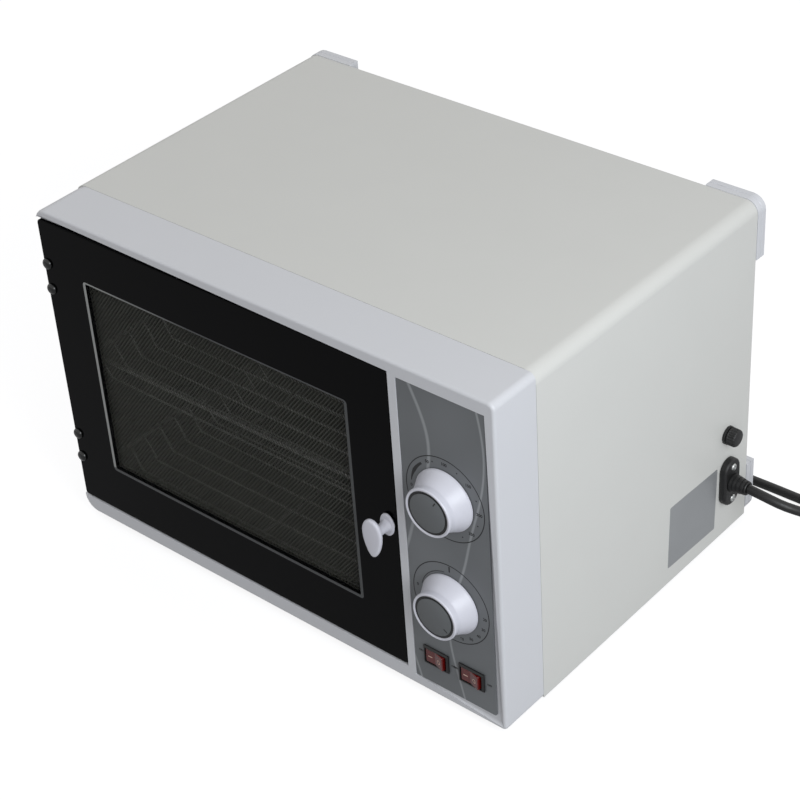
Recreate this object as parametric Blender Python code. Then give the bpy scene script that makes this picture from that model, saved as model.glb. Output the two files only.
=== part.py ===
"""Bench-top UV and dry-heat sterilizer cabinet, as an assembly of separate pieces.

Metres, +Z up. The door faces -Y, the controls are on its right. The construction frame has
x = 0 at the middle of the body, y = 0 at the front face of the bezel and z = 0 at the surface
it stands on. One parent empty then moves the whole assembly, so that the world origin lies
under the middle of the bounding box of the cabinet.
"""
import math

import bmesh
import bpy
import numpy as np
from mathutils import Matrix, Vector

# General sizes
GAP = 0.0003
OVERRUN = 0.004
ARC_STEPS = 5
ROUND_STEPS = 24
FINE_ROUND_STEPS = 24
SMALL_ROUND_STEPS = 12

# Body. Its width follows from the door and the controls, further down.
BODY_HEIGHT = 0.260
BODY_DEPTH = 0.281
FOOT_HEIGHT = 0.006

# Front bezel, one moulding with a bay for the door and one for the controls
BEZEL_DEPTH = 0.040
BEZEL_WALL = 0.003
BEZEL_EDGE_RADIUS = 0.007
BEZEL_CORNER_RADIUS = 0.012
DOOR_MARGIN_LEFT = 0.0016
DOOR_MARGIN_TOP = 0.0093
DOOR_MARGIN_BOTTOM = 0.0133
DOOR_GAP = 0.0008
DIVIDER_WIDTH = 0.0074

# Door glass and the window printed on it
DOOR_WIDTH = 0.3155
GLASS_RECESS = 0.0005
GLASS_THICKNESS = 0.004
GLASS_CORNER_RADIUS = 0.003
WINDOW_LEFT = 0.0399
WINDOW_RIGHT = 0.0367
WINDOW_BOTTOM = 0.0400
WINDOW_TOP = 0.0373

# Pressed frame behind the glass, the screen in it and the seal on it
FRAME_INSET_LEFT = 0.0084
FRAME_INSET_RIGHT = 0.0141
FRAME_INSET_HEIGHT = 0.0020
FRAME_SHEET = 0.0012
FRAME_LIP = 0.0008
FRAME_DEPTH = 0.0047
FRAME_CORNER_RADIUS = 0.006
FRAME_WINDOW_MARGIN = 0.003
SCREEN_MARGIN = 0.006
SCREEN_THICKNESS = 0.0008
SCREEN_HOLES_ACROSS = 9
SCREEN_HOLES_UP = 6
SCREEN_OPEN_SHARE = 0.78
SEAL_INSET = 0.0015
SEAL_WIDTH = 0.0040
SEAL_PROUD = 0.0030

# Door hinges, in a recess of the bezel
HINGE_INSET = 0.0039
HINGE_SETBACK = 0.0040
HINGE_BLOCK_HEIGHT = 0.034
HINGE_BLOCK_BEHIND = 0.0032
HINGE_SIDE_MARGIN = 0.0004
HINGE_RECESS_DEPTH = 0.0180
HINGE_RECESS_MARGIN = 0.0005
HINGE_PIN_RADIUS = 0.0013
HINGE_PIN_HEAD_RADIUS = 0.0022
HINGE_PIN_HEAD_HEIGHT = 0.0008
HINGE_SHEET = 0.0012
HINGE_EAR_RADIUS = 0.0034
HINGE_EAR_NECK = 0.0018
UPPER_HINGE_DROP = 0.0450
LOWER_HINGE_RISE = 0.0465
HINGE_SCREW_SPACING = 0.0205
HINGE_SCREW_HEAD_RADIUS = 0.0040
HINGE_SCREW_HEAD_HEIGHT = 0.0026
HINGE_SCREW_RADIUS = 0.0015
HINGE_SCREW_REACH = 0.0017
HINGE_SCREW_CLEARANCE = 0.0005

# Turn latch on the door
LATCH_INSET = 0.0073
LATCH_DROP = 0.0016
LATCH_SEAT_RADIUS = 0.0052
LATCH_SEAT_THICKNESS = 0.0007
LATCH_BASE_HALF_WIDTH = 0.0058
LATCH_BASE_HALF_HEIGHT = 0.0087
LATCH_BASE_THICKNESS = 0.0030
LATCH_NECK_RADIUS = 0.0036
LATCH_NECK_LENGTH = 0.0088
LATCH_PADDLE_THICKNESS = 0.0050
LATCH_PADDLE_TOP = 0.0110
LATCH_PADDLE_BOTTOM = 0.0215
LATCH_PADDLE_HALF_WIDTH = 0.0085
LATCH_PADDLE_TAPER_SHARE = 0.45
LATCH_SPINDLE_RADIUS = 0.0024
LATCH_COLLAR_RADIUS = 0.0040
LATCH_COLLAR_THICKNESS = 0.0009
LATCH_HEAD_THICKNESS = 0.0015
LATCH_BORE_DEPTH = 0.0060
TONGUE_THICKNESS = 0.0020
TONGUE_REACH = 0.0125
TONGUE_HALF_WIDTH = 0.0045
TONGUE_SLOT_MARGIN = 0.0014

# Chamber, a folded stainless box with a front flange
LINER_SHEET = 0.0010
LINER_CLEAR_OF_SEAL = 0.0005
LINER_BACK_ROOM = 0.0260
LINER_FLANGE = 0.0040
LEDGE_CLEARANCE = 0.0005

# Side runners and wire baskets
RUNNER_SHEET = 0.0008
RUNNER_LEDGE_WIDTH = 0.0064
RUNNER_LEDGE_THICKNESS = 0.0012
RUNNER_FRONT = 0.0160
RUNNER_BACK_ROOM = 0.0050
RUNNER_TOP_MARGIN = 0.0080
BASKET_RIM_RADIUS = 0.00175
BASKET_WIRE_RADIUS = 0.0010
BASKET_BRACE_RADIUS = 0.0012
BASKET_BRACE_SHARES = (0.5,)
BASKET_WIRE_PITCH = 0.0153
BASKET_BACK_ROOM = 0.0360
BASKET_FIRST_WIRE = 0.0160
BASKET_SIDE_PLAY = 0.0021
BASKET_RIM_OVERHANG = 0.0035
BASKET_CORNER_RADIUS = 0.0060
BASKET_DROP = 0.0170
BASKET_TOP_STEP = 0.0040
BASKET_SLOPE_RUN = 0.0100
UPPER_BASKET_FLOOR = 0.1240
LOWER_BASKET_FLOOR = 0.0295
BASKET_WIRE_SIDES = 6

# Ultraviolet lamp under the ceiling of the chamber
LAMP_END_ROOM = 0.03445
LAMP_RADIUS = 0.0080
LAMP_CAP_RADIUS = 0.0083
LAMP_CAP_LENGTH = 0.0100
LAMP_DROP = 0.0130
LAMP_SETBACK = 0.1300
HOLDER_THICKNESS = 0.0110
HOLDER_HALF_WIDTH = 0.0120
HOLDER_SOCKET_DEPTH = 0.0030

# Heating element under the floor of the chamber
HEATER_RADIUS = 0.00325
HEATER_PIN_RADIUS = 0.0018
HEATER_PIN_LENGTH = 0.0120
HEATER_FRONT = 0.0800
HEATER_BACK_ROOM = 0.0650
HEATER_MARGIN = 0.0250
HEATER_SIDES = 8

# Lamp ballast on the base
BALLAST_WIDTH = 0.041
BALLAST_BACK_ROOM = 0.096
BALLAST_HEIGHT = 0.028
BALLAST_FOOT = 0.0020
BALLAST_FOOT_REACH = 0.012
BALLAST_CHAMFER = 0.004
BALLAST_FRONT = 0.100

# Outer wrap, base pan and back panel
SHELL_SHEET = 0.0010
SHELL_CORNER_RADIUS = 0.0095
PAN_SHEET = 0.0012
PAN_FLANGE = 0.0120
BACK_SHEET = 0.0010
VENT_COLUMNS = 12
VENT_ROWS = 2
VENT_WIDTH = 0.0035
VENT_LENGTH = 0.0260
VENT_PITCH = 0.0090
VENT_ROW_PITCH = 0.0380
VENT_INSET = 0.0750
VENT_DROP = 0.1100

# Corner bumpers behind the cabinet
BUMPER_DEPTH = 0.0100
BUMPER_LEG_ACROSS = 0.0420
BUMPER_LEG_UP = 0.0450
BUMPER_LEG_WIDTH = 0.0130
BUMPER_PROUD = 0.0006
BUMPER_EDGE = 0.0010
BUMPER_GROOVE = 0.0005
BUMPER_CORNER_RADIUS = 0.0100

# Feet
FOOT_RADIUS = 0.0110
FOOT_TOP_RADIUS = 0.0095
FOOT_STEM_RADIUS = 0.0020
FOOT_HEAD_RADIUS = 0.0040
FOOT_HEAD_HEIGHT = 0.0015
FOOT_INSET_SIDE = 0.0350
FOOT_INSET_FRONT = 0.0650
FOOT_INSET_REAR = 0.0300

# Control fascia
FASCIA_WIDTH = 0.0676
FASCIA_MARGIN_RIGHT = 0.0079
FASCIA_MARGIN_BOTTOM = 0.0091
FASCIA_MARGIN_TOP = 0.0106
FASCIA_THICKNESS = 0.0012
FASCIA_RECESS = 0.0005
FASCIA_POCKET = 0.0020
FASCIA_EDGE_GAP = 0.0004
THERMOSTAT_DROP = 0.0881
TIMER_HEIGHT = 0.0883
SWITCH_HEIGHT = 0.0332
SWITCH_SPACING = 0.0296

# Knobs and the shafts they turn
KNOB_BASE_RADIUS = 0.0223
KNOB_RIM_RADIUS = 0.0165
KNOB_WAIST_RADIUS = 0.0166
KNOB_HEIGHT = 0.0191
KNOB_WALL = 0.0020
KNOB_OUTSIDE_SHARES = ((0.07, 1.0), (0.16, 0.62), (0.30, 0.30), (0.48, 0.08), (0.66, 0.0))
KNOB_INSIDE_SHARES = ((0.55, 0.0), (0.22, 0.30))
KNOB_ROUNDING = 0.0013
KNOB_BOSS_RADIUS = 0.0055
KNOB_LIFT = 0.0005
KNOB_CAP_RADIUS = 0.0135
KNOB_CAP_THICKNESS = 0.0010
SHAFT_RADIUS = 0.0030
SHAFT_FLAT = 0.0020
SHAFT_INSIDE = 0.0100
BUSH_RADIUS = 0.0046
BUSH_CLEARANCE = 0.0004
THERMOSTAT_RADIUS = 0.0170
THERMOSTAT_DEPTH = 0.0200
THERMOSTAT_STEP = 0.0025
TIMER_WIDTH = 0.0360
TIMER_DEPTH = 0.0240
TIMER_CORNER = 0.0050

# Rocker switches
SWITCH_WIDTH = 0.0210
SWITCH_TALL = 0.0150
SWITCH_FLANGE = 0.0018
SWITCH_BODY_WIDTH = 0.0192
SWITCH_BODY_TALL = 0.0134
SWITCH_BODY_DEPTH = 0.0160
SWITCH_WALL = 0.0008
SWITCH_CAVITY_DEPTH = 0.0085
ROCKER_HALF_WIDTH = 0.0079
ROCKER_TALL = 0.0110
ROCKER_PIVOT_SETBACK = 0.0020
ROCKER_END_HEIGHT = 0.0044
ROCKER_MIDDLE_HEIGHT = 0.0032
ROCKER_BACK = 0.0045
ROCKER_REST_TILT = math.radians(-8.0)

# Fuse holder on the right side
FUSE_SETBACK = 0.0271
FUSE_HEIGHT = 0.0873
FUSE_FLANGE_RADIUS = 0.0070
FUSE_FLANGE_THICKNESS = 0.0020
FUSE_BARREL_RADIUS = 0.0058
FUSE_BARREL_LENGTH = 0.0300
FUSE_BORE_RADIUS = 0.0042
FUSE_BORE_LENGTH = 0.0260
FUSE_NUT_RADIUS = 0.0080
FUSE_NUT_THICKNESS = 0.0030
FUSE_CAP_RADIUS = 0.0066
FUSE_CAP_HEIGHT = 0.0068
FUSE_STEM_LENGTH = 0.0080
FUSE_RIBS = 12
FUSE_RIB_DEPTH = 0.0004
FUSE_SLOT_WIDTH = 0.0016
FUSE_SLOT_DEPTH = 0.0012

# Cord anchor and strain relief on the right side
ANCHOR_SETBACK = 0.0263
ANCHOR_HEIGHT = 0.0473
ANCHOR_WIDTH = 0.0186
ANCHOR_TALL = 0.0386
ANCHOR_THICKNESS = 0.0055
ANCHOR_SCREW_SPACING = 0.0272
ANCHOR_SCREW_HOLE = 0.0016
ANCHOR_STEPS = 6
RELIEF_NECK_RADIUS = 0.0053
RELIEF_COLLAR_RADIUS = 0.0075
RELIEF_INSIDE = 0.0045
RELIEF_ROOT_RADIUS = 0.0070
RELIEF_TIP_RADIUS = 0.0050
RELIEF_LENGTH = 0.0125
RELIEF_RINGS = 3
RELIEF_RING_DEPTH = 0.0008
RELIEF_RING_SHARES = (0.6, 0.7, 0.95)

# Mains cord: its free stretch, coil and plug
CORD_DIAMETER = 0.0070
CORD_POINT_SPACING = 0.0160
CORD_ROUTE = (
    (0.0000, 0.0000, 0.0000),
    (0.0140, 0.0000, -0.0010),
    (0.0258, 0.0029, -0.0044),
    (0.0360, 0.0110, -0.0105),
    (0.0430, 0.0220, -0.0188),
    (0.0455, 0.0350, -0.0285),
    (0.0430, 0.0475, -0.0372),
    (0.0355, 0.0580, -0.0440),
    (0.0250, 0.0645, -0.0480),
    (0.0130, 0.0668, -0.0496),
    (0.0000, 0.0670, -0.0500),
    (-0.0150, 0.0668, -0.0500),
    (-0.0400, 0.0660, -0.0500),
    (-0.0650, 0.0655, -0.0500),
    (-0.0900, 0.0658, -0.0500),
    (-0.1150, 0.0664, -0.0500),
    (-0.1400, 0.0668, -0.0500),
    (-0.1620, 0.0670, -0.0500),
    (-0.1780, 0.0670, -0.0500),
)
COIL_RADIUS = 0.0464
COIL_PITCH = 0.0077
COIL_DIP_SHARE = 0.25
COIL_TURNS_PER_LAYER = 2.25
COIL_LEAD_IN = 0.0070
COIL_LEAD_OUT = 0.0280
COIL_POINTS_PER_TURN = 20
PLUG_RADIUS = 0.0182
PLUG_BODY_LENGTH = 0.0260
PLUG_RELIEF_LENGTH = 0.0260
PLUG_NECK_RADIUS = 0.0053
PLUG_WAIST_RADIUS = 0.0077
PLUG_SHOULDER_RADIUS = 0.0137
PLUG_WAIST_SHARE = 0.6
PLUG_SHOULDER_LENGTH = 0.0078
PLUG_EDGE = 0.0011
PLUG_PIN_RADIUS = 0.0024
PLUG_PIN_LENGTH = 0.0190
PLUG_PIN_SPACING = 0.0190
PLUG_PIN_ROOT = 0.0020

# Places that follow from the sizes
BODY_WIDTH = DOOR_MARGIN_LEFT + DOOR_WIDTH + DIVIDER_WIDTH + FASCIA_WIDTH + FASCIA_MARGIN_RIGHT
LEFT = -BODY_WIDTH / 2
RIGHT = BODY_WIDTH / 2
BOTTOM = FOOT_HEIGHT
TOP = BOTTOM + BODY_HEIGHT
REAR = BODY_DEPTH
DOOR_LEFT = LEFT + DOOR_MARGIN_LEFT
DOOR_RIGHT = DOOR_LEFT + DOOR_WIDTH
DOOR_BOTTOM = BOTTOM + DOOR_MARGIN_BOTTOM
DOOR_TOP = TOP - DOOR_MARGIN_TOP
FASCIA_LEFT = DOOR_RIGHT + DIVIDER_WIDTH
FASCIA_RIGHT = FASCIA_LEFT + FASCIA_WIDTH
FASCIA_X = (FASCIA_LEFT + FASCIA_RIGHT) / 2
FASCIA_LOW = BOTTOM + FASCIA_MARGIN_BOTTOM
FASCIA_HIGH = TOP - FASCIA_MARGIN_TOP
THERMOSTAT_Z = TOP - THERMOSTAT_DROP
TIMER_Z = BOTTOM + TIMER_HEIGHT
PANEL_BACK = FASCIA_POCKET + BEZEL_WALL

GLASS_BACK = GLASS_RECESS + GLASS_THICKNESS
FRAME_FRONT = GLASS_BACK + GAP
FRAME_FACE = SCREEN_THICKNESS + GAP + FRAME_SHEET
FRAME_BACK = FRAME_FRONT + FRAME_DEPTH
FRAME_X0 = DOOR_LEFT + FRAME_INSET_LEFT
FRAME_X1 = DOOR_RIGHT - FRAME_INSET_RIGHT
FRAME_Z0 = DOOR_BOTTOM + FRAME_INSET_HEIGHT
FRAME_Z1 = DOOR_TOP - FRAME_INSET_HEIGHT
WINDOW_X0 = DOOR_LEFT + WINDOW_LEFT
WINDOW_X1 = DOOR_RIGHT - WINDOW_RIGHT
WINDOW_Z0 = DOOR_BOTTOM + WINDOW_BOTTOM
WINDOW_Z1 = DOOR_TOP - WINDOW_TOP

LINER_FRONT = FRAME_BACK + SEAL_PROUD + GAP
LEDGE_FRONT = LINER_FRONT + LINER_SHEET + GAP
MOUTH_INSET = SEAL_INSET + SEAL_WIDTH + LINER_CLEAR_OF_SEAL
LINER_X0 = FRAME_X0 + MOUTH_INSET
LINER_X1 = FRAME_X1 - MOUTH_INSET
LINER_Z0 = FRAME_Z0 + MOUTH_INSET
LINER_Z1 = FRAME_Z1 - MOUTH_INSET
LINER_REAR = REAR - LINER_BACK_ROOM

HINGE_X = DOOR_LEFT + HINGE_INSET
HINGE_Y = FRAME_FRONT + HINGE_SETBACK
LATCH_X = DOOR_RIGHT - LATCH_INSET
LATCH_Z = (DOOR_BOTTOM + DOOR_TOP) / 2 - LATCH_DROP
FASCIA_FRONT = FASCIA_RECESS
SWITCH_Z = BOTTOM + SWITCH_HEIGHT
FUSE_Y = REAR - FUSE_SETBACK
ANCHOR_Y = REAR - ANCHOR_SETBACK

RELIEF_OUTSIDE = GAP + ANCHOR_THICKNESS + GAP + RELIEF_LENGTH
CORD_START = Vector((RIGHT + RELIEF_OUTSIDE + GAP, ANCHOR_Y, BOTTOM + ANCHOR_HEIGHT))
CORD_RADIUS = CORD_DIAMETER / 2

# The cabinet without its cord reaches from the left bumpers to the tip of the strain relief,
# and from the latch or the knobs to the rear of the bumpers.
KNOB_FRONT = FASCIA_FRONT - KNOB_LIFT - KNOB_HEIGHT
PADDLE_FRONT = (GLASS_RECESS - GAP - LATCH_SEAT_THICKNESS - LATCH_BASE_THICKNESS
                - LATCH_NECK_LENGTH - LATCH_PADDLE_THICKNESS)
BUMPER_BACK = REAR + GAP + BUMPER_DEPTH
ORIGIN_X = (LEFT - BUMPER_PROUD + RIGHT + RELIEF_OUTSIDE) / 2
ORIGIN_Y = (min(KNOB_FRONT, PADDLE_FRONT) + BUMPER_BACK) / 2


def clear_scene():
    """Remove every object of the open scene."""
    for item in list(bpy.data.objects):
        bpy.data.objects.remove(item, do_unlink=True)


def finish_of(name, colour, roughness, metallic=0.0):
    """A plain material with the colour and gloss of one finish."""
    material = bpy.data.materials.new(name)
    material.use_nodes = True
    shader = material.node_tree.nodes["Principled BSDF"]
    shader.inputs["Base Color"].default_value = (*colour, 1.0)
    shader.inputs["Roughness"].default_value = roughness
    shader.inputs["Metallic"].default_value = metallic
    material.diffuse_color = (*colour, 1.0)
    return material


def add_empty(name, place, parent):
    """An empty that marks a joint's axis or carries the assembly."""
    empty = bpy.data.objects.new(name, None)
    bpy.context.scene.collection.objects.link(empty)
    empty.location = place
    empty.parent = parent
    return empty


def add_piece(name, mesh, material, parent, place=(0, 0, 0), turn=(0, 0, 0), smooth=True):
    """One named solid, from a bmesh, under its parent."""
    data = bpy.data.meshes.new(name)
    bmesh.ops.recalc_face_normals(mesh, faces=mesh.faces)
    mesh.to_mesh(data)
    mesh.free()
    piece = bpy.data.objects.new(name, data)
    bpy.context.scene.collection.objects.link(piece)
    piece.location = place
    piece.rotation_euler = turn
    piece.parent = parent
    if material:
        data.materials.append(material)
    if smooth:
        data.shade_smooth()
        data.set_sharp_from_angle(angle=math.radians(35))
    return piece


def boolean(piece, other_mesh, operation, place=(0, 0, 0), turn=(0, 0, 0)):
    """Cut another shape from a piece, or fuse it on, and keep that shape as a hidden guide."""
    guide = add_piece(piece.name + "_guide", other_mesh, None, piece.parent, place, turn, False)
    guide.display_type = "WIRE"
    guide.hide_render = True
    modifier = piece.modifiers.new(operation.lower(), "BOOLEAN")
    modifier.operation = operation
    modifier.object = guide
    modifier.solver = "EXACT"
    return guide


def cut(piece, other_mesh, place=(0, 0, 0), turn=(0, 0, 0)):
    return boolean(piece, other_mesh, "DIFFERENCE", place, turn)


def fuse(piece, other_mesh, place=(0, 0, 0), turn=(0, 0, 0)):
    return boolean(piece, other_mesh, "UNION", place, turn)


def block(low, high):
    """A box between two corners."""
    mesh = bmesh.new()
    bmesh.ops.create_cube(mesh, size=1.0)
    low = Vector(low)
    high = Vector(high)
    for vertex in mesh.verts:
        vertex.co = Vector([low[i] + (vertex.co[i] + 0.5) * (high[i] - low[i]) for i in range(3)])
    return mesh


def add_mesh(target, other):
    """Put a second, separate shape into a mesh."""
    data = bpy.data.meshes.new("joined")
    other.to_mesh(data)
    other.free()
    target.from_mesh(data)
    bpy.data.meshes.remove(data)
    return target


def blocks(boxes):
    """Several boxes that don't meet, in one mesh."""
    mesh = bmesh.new()
    for low, high in boxes:
        add_mesh(mesh, block(low, high))
    return mesh


def corner_arc(x, z, radius, start, steps):
    """Points of a quarter circle that begins at an angle in degrees."""
    angles = [math.radians(start + 90.0 * i / steps) for i in range(steps + 1)]
    return [(x + radius * math.cos(a), z + radius * math.sin(a)) for a in angles]


def rounded_outline(x0, x1, z0, z1, radius, steps=ARC_STEPS):
    """A rectangle with round corners, anticlockwise."""
    points = corner_arc(x1 - radius, z1 - radius, radius, 0, steps)
    points += corner_arc(x0 + radius, z1 - radius, radius, 90, steps)
    points += corner_arc(x0 + radius, z0 + radius, radius, 180, steps)
    points += corner_arc(x1 - radius, z0 + radius, radius, 270, steps)
    return points


def loft(rings, closed=False):
    """Skin equal rings of points, with flat ends, or end to end for a hollow ring."""
    mesh = bmesh.new()
    rows = [[mesh.verts.new(point) for point in ring] for ring in rings]
    count = len(rows[0])
    spans = len(rows) if closed else len(rows) - 1
    for i in range(spans):
        lower = rows[i]
        upper = rows[(i + 1) % len(rows)]
        for j in range(count):
            k = (j + 1) % count
            mesh.faces.new((lower[j], lower[k], upper[k], upper[j]))
    if not closed:
        mesh.faces.new(rows[0][::-1])
        mesh.faces.new(rows[-1])
    return mesh


def prism_y(outline, y0, y1):
    """An outline in x and z, drawn out along y."""
    return loft([[(x, y, z) for x, z in outline] for y in (y0, y1)])


def prism_x(outline, x0, x1):
    """An outline in y and z, drawn out along x."""
    return loft([[(x, y, z) for y, z in outline] for x in (x0, x1)])


def prism_z(outline, z0, z1):
    """An outline in x and y, drawn out along z."""
    return loft([[(x, y, z) for x, y in outline] for z in (z0, z1)])


def ring_y(outer, inner, y0, y1):
    """A flat ring between two outlines of equal count, drawn out along y."""
    rings = [[(x, y0, z) for x, z in outer], [(x, y1, z) for x, z in outer],
             [(x, y1, z) for x, z in inner], [(x, y0, z) for x, z in inner]]
    return loft(rings, closed=True)


def lathe(profile, steps=ROUND_STEPS):
    """Turn a profile of (radius, height) about local z. It starts and ends on the axis."""
    mesh = bmesh.new()
    rows = []
    for radius, height in profile:
        if radius == 0:
            rows.append([mesh.verts.new((0, 0, height))])
            continue
        turns = [2 * math.pi * i / steps for i in range(steps)]
        rows.append([mesh.verts.new((radius * math.cos(a), radius * math.sin(a), height))
                     for a in turns])
    for lower, upper in zip(rows, rows[1:]):
        for j in range(steps):
            k = (j + 1) % steps
            if len(lower) == 1:
                mesh.faces.new((lower[0], upper[k], upper[j]))
            elif len(upper) == 1:
                mesh.faces.new((lower[j], lower[k], upper[0]))
            else:
                mesh.faces.new((lower[j], lower[k], upper[k], upper[j]))
    return mesh


def cylinder(radius, z0, z1, steps=ROUND_STEPS):
    return lathe([(0, z0), (radius, z0), (radius, z1), (0, z1)], steps)


def tube(points, radii, sides):
    """A round bar along points, square-ended, with its own radius at each point."""
    path = [Vector(point) for point in points]
    tangents = []
    for i in range(len(path)):
        before = path[max(i - 1, 0)]
        after = path[min(i + 1, len(path) - 1)]
        tangents.append((after - before).normalized())
    normal = tangents[0].orthogonal().normalized()
    rings = []
    for point, tangent, radius in zip(path, tangents, radii):
        normal = (normal - tangent * normal.dot(tangent)).normalized()
        side = tangent.cross(normal)
        rings.append([point + radius * (math.cos(a) * normal + math.sin(a) * side)
                      for a in (2 * math.pi * j / sides for j in range(sides))])
    return loft(rings)


def closed_tube(points, radius, sides):
    """A round bar whose ends meet, on a flat closed path."""
    path = [Vector(point) for point in points]
    up = Vector((0, 0, 1))
    rings = []
    for i, point in enumerate(path):
        tangent = (path[(i + 1) % len(path)] - path[i - 1]).normalized()
        side = tangent.cross(up)
        rings.append([point + radius * (math.cos(a) * side + math.sin(a) * up)
                      for a in (2 * math.pi * j / sides for j in range(sides))])
    return loft(rings, closed=True)


def smooth_curve(points, spacing):
    """Points at equal steps along a natural cubic spline through the given ones."""
    route = np.array(points)
    chord = np.concatenate([[0], np.cumsum(np.linalg.norm(np.diff(route, axis=0), axis=1))])
    step = np.diff(chord)
    count = len(route)
    matrix = np.eye(count)
    target = np.zeros((count, 3))
    for i in range(1, count - 1):
        matrix[i, i - 1] = step[i - 1]
        matrix[i, i] = 2 * (step[i - 1] + step[i])
        matrix[i, i + 1] = step[i]
        target[i] = 6 * ((route[i + 1] - route[i]) / step[i] - (route[i] - route[i - 1]) / step[i - 1])
    bend = np.linalg.solve(matrix, target)
    total = chord[-1]
    samples = np.linspace(0, total, max(2, round(total / spacing) + 1))
    result = []
    for value in samples:
        i = min(int(np.searchsorted(chord, value, side="right")) - 1, count - 2)
        a = chord[i + 1] - value
        b = value - chord[i]
        h = step[i]
        result.append((bend[i] * a ** 3 + bend[i + 1] * b ** 3) / (6 * h)
                      + (route[i] / h - bend[i] * h / 6) * a
                      + (route[i + 1] / h - bend[i + 1] * h / 6) * b)
    return np.array(result)


def coil_points():
    """The wound part of the cord: in along the floor, up a layer, and out again on top."""
    pitch = COIL_PITCH
    layer = COIL_TURNS_PER_LAYER
    total = 2 * layer + 0.5
    end = Vector(CORD_ROUTE[-1]) + CORD_START - Vector((GAP, 0, 0))
    centre = Vector((end.x - COIL_LEAD_IN, end.y + COIL_RADIUS, 0))
    plug_height = PLUG_RADIUS + GAP
    points = [end]
    for i in range(int(total * COIL_POINTS_PER_TURN) + 1):
        turn = i / COIL_POINTS_PER_TURN
        inner = COIL_RADIUS - pitch * layer
        if turn <= layer:
            radius = COIL_RADIUS - pitch * turn
            height = CORD_RADIUS
        elif turn <= layer + 0.5:
            radius = inner - COIL_DIP_SHARE * pitch * math.sin(2 * math.pi * (turn - layer))
            climb = (turn - layer) / 0.5
            height = CORD_RADIUS + pitch * climb * climb * (3 - 2 * climb)
        else:
            radius = inner + pitch * (turn - layer - 0.5)
            height = CORD_RADIUS + pitch
        if turn > total - 0.5:
            lift = (turn - total + 0.5) / 0.5
            height += (plug_height - height) * lift * lift * (3 - 2 * lift)
        angle = -math.pi / 2 - 2 * math.pi * turn
        points.append(centre + Vector((radius * math.cos(angle), radius * math.sin(angle), height)))
    last = points[-1]
    points.append(last - Vector((COIL_LEAD_OUT / 2, 0, 0)))
    points.append(last - Vector((COIL_LEAD_OUT, 0, 0)))
    return points


def self_gap(points, radius):
    """The least clear distance of a tube to itself, between stretches a half turn apart."""
    line = np.array([tuple(point) for point in points])
    far = COIL_POINTS_PER_TURN // 2
    least = math.inf
    for i in range(len(line) - far):
        distance = np.linalg.norm(line[i + far:] - line[i], axis=1).min()
        least = min(least, distance)
    return least - 2 * radius


def add_cord(name, points, resolution, material, parent):
    """A round cord along points, as a curve with a bevel and filled caps."""
    data = bpy.data.curves.new(name, "CURVE")
    data.dimensions = "3D"
    data.bevel_depth = CORD_RADIUS
    data.bevel_resolution = resolution
    data.use_fill_caps = True
    spline = data.splines.new("POLY")
    spline.points.add(len(points) - 1)
    for slot, point in zip(spline.points, points):
        slot.co = (*point, 1.0)
    data.materials.append(material)
    piece = bpy.data.objects.new(name, data)
    bpy.context.scene.collection.objects.link(piece)
    piece.parent = parent
    return piece


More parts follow.
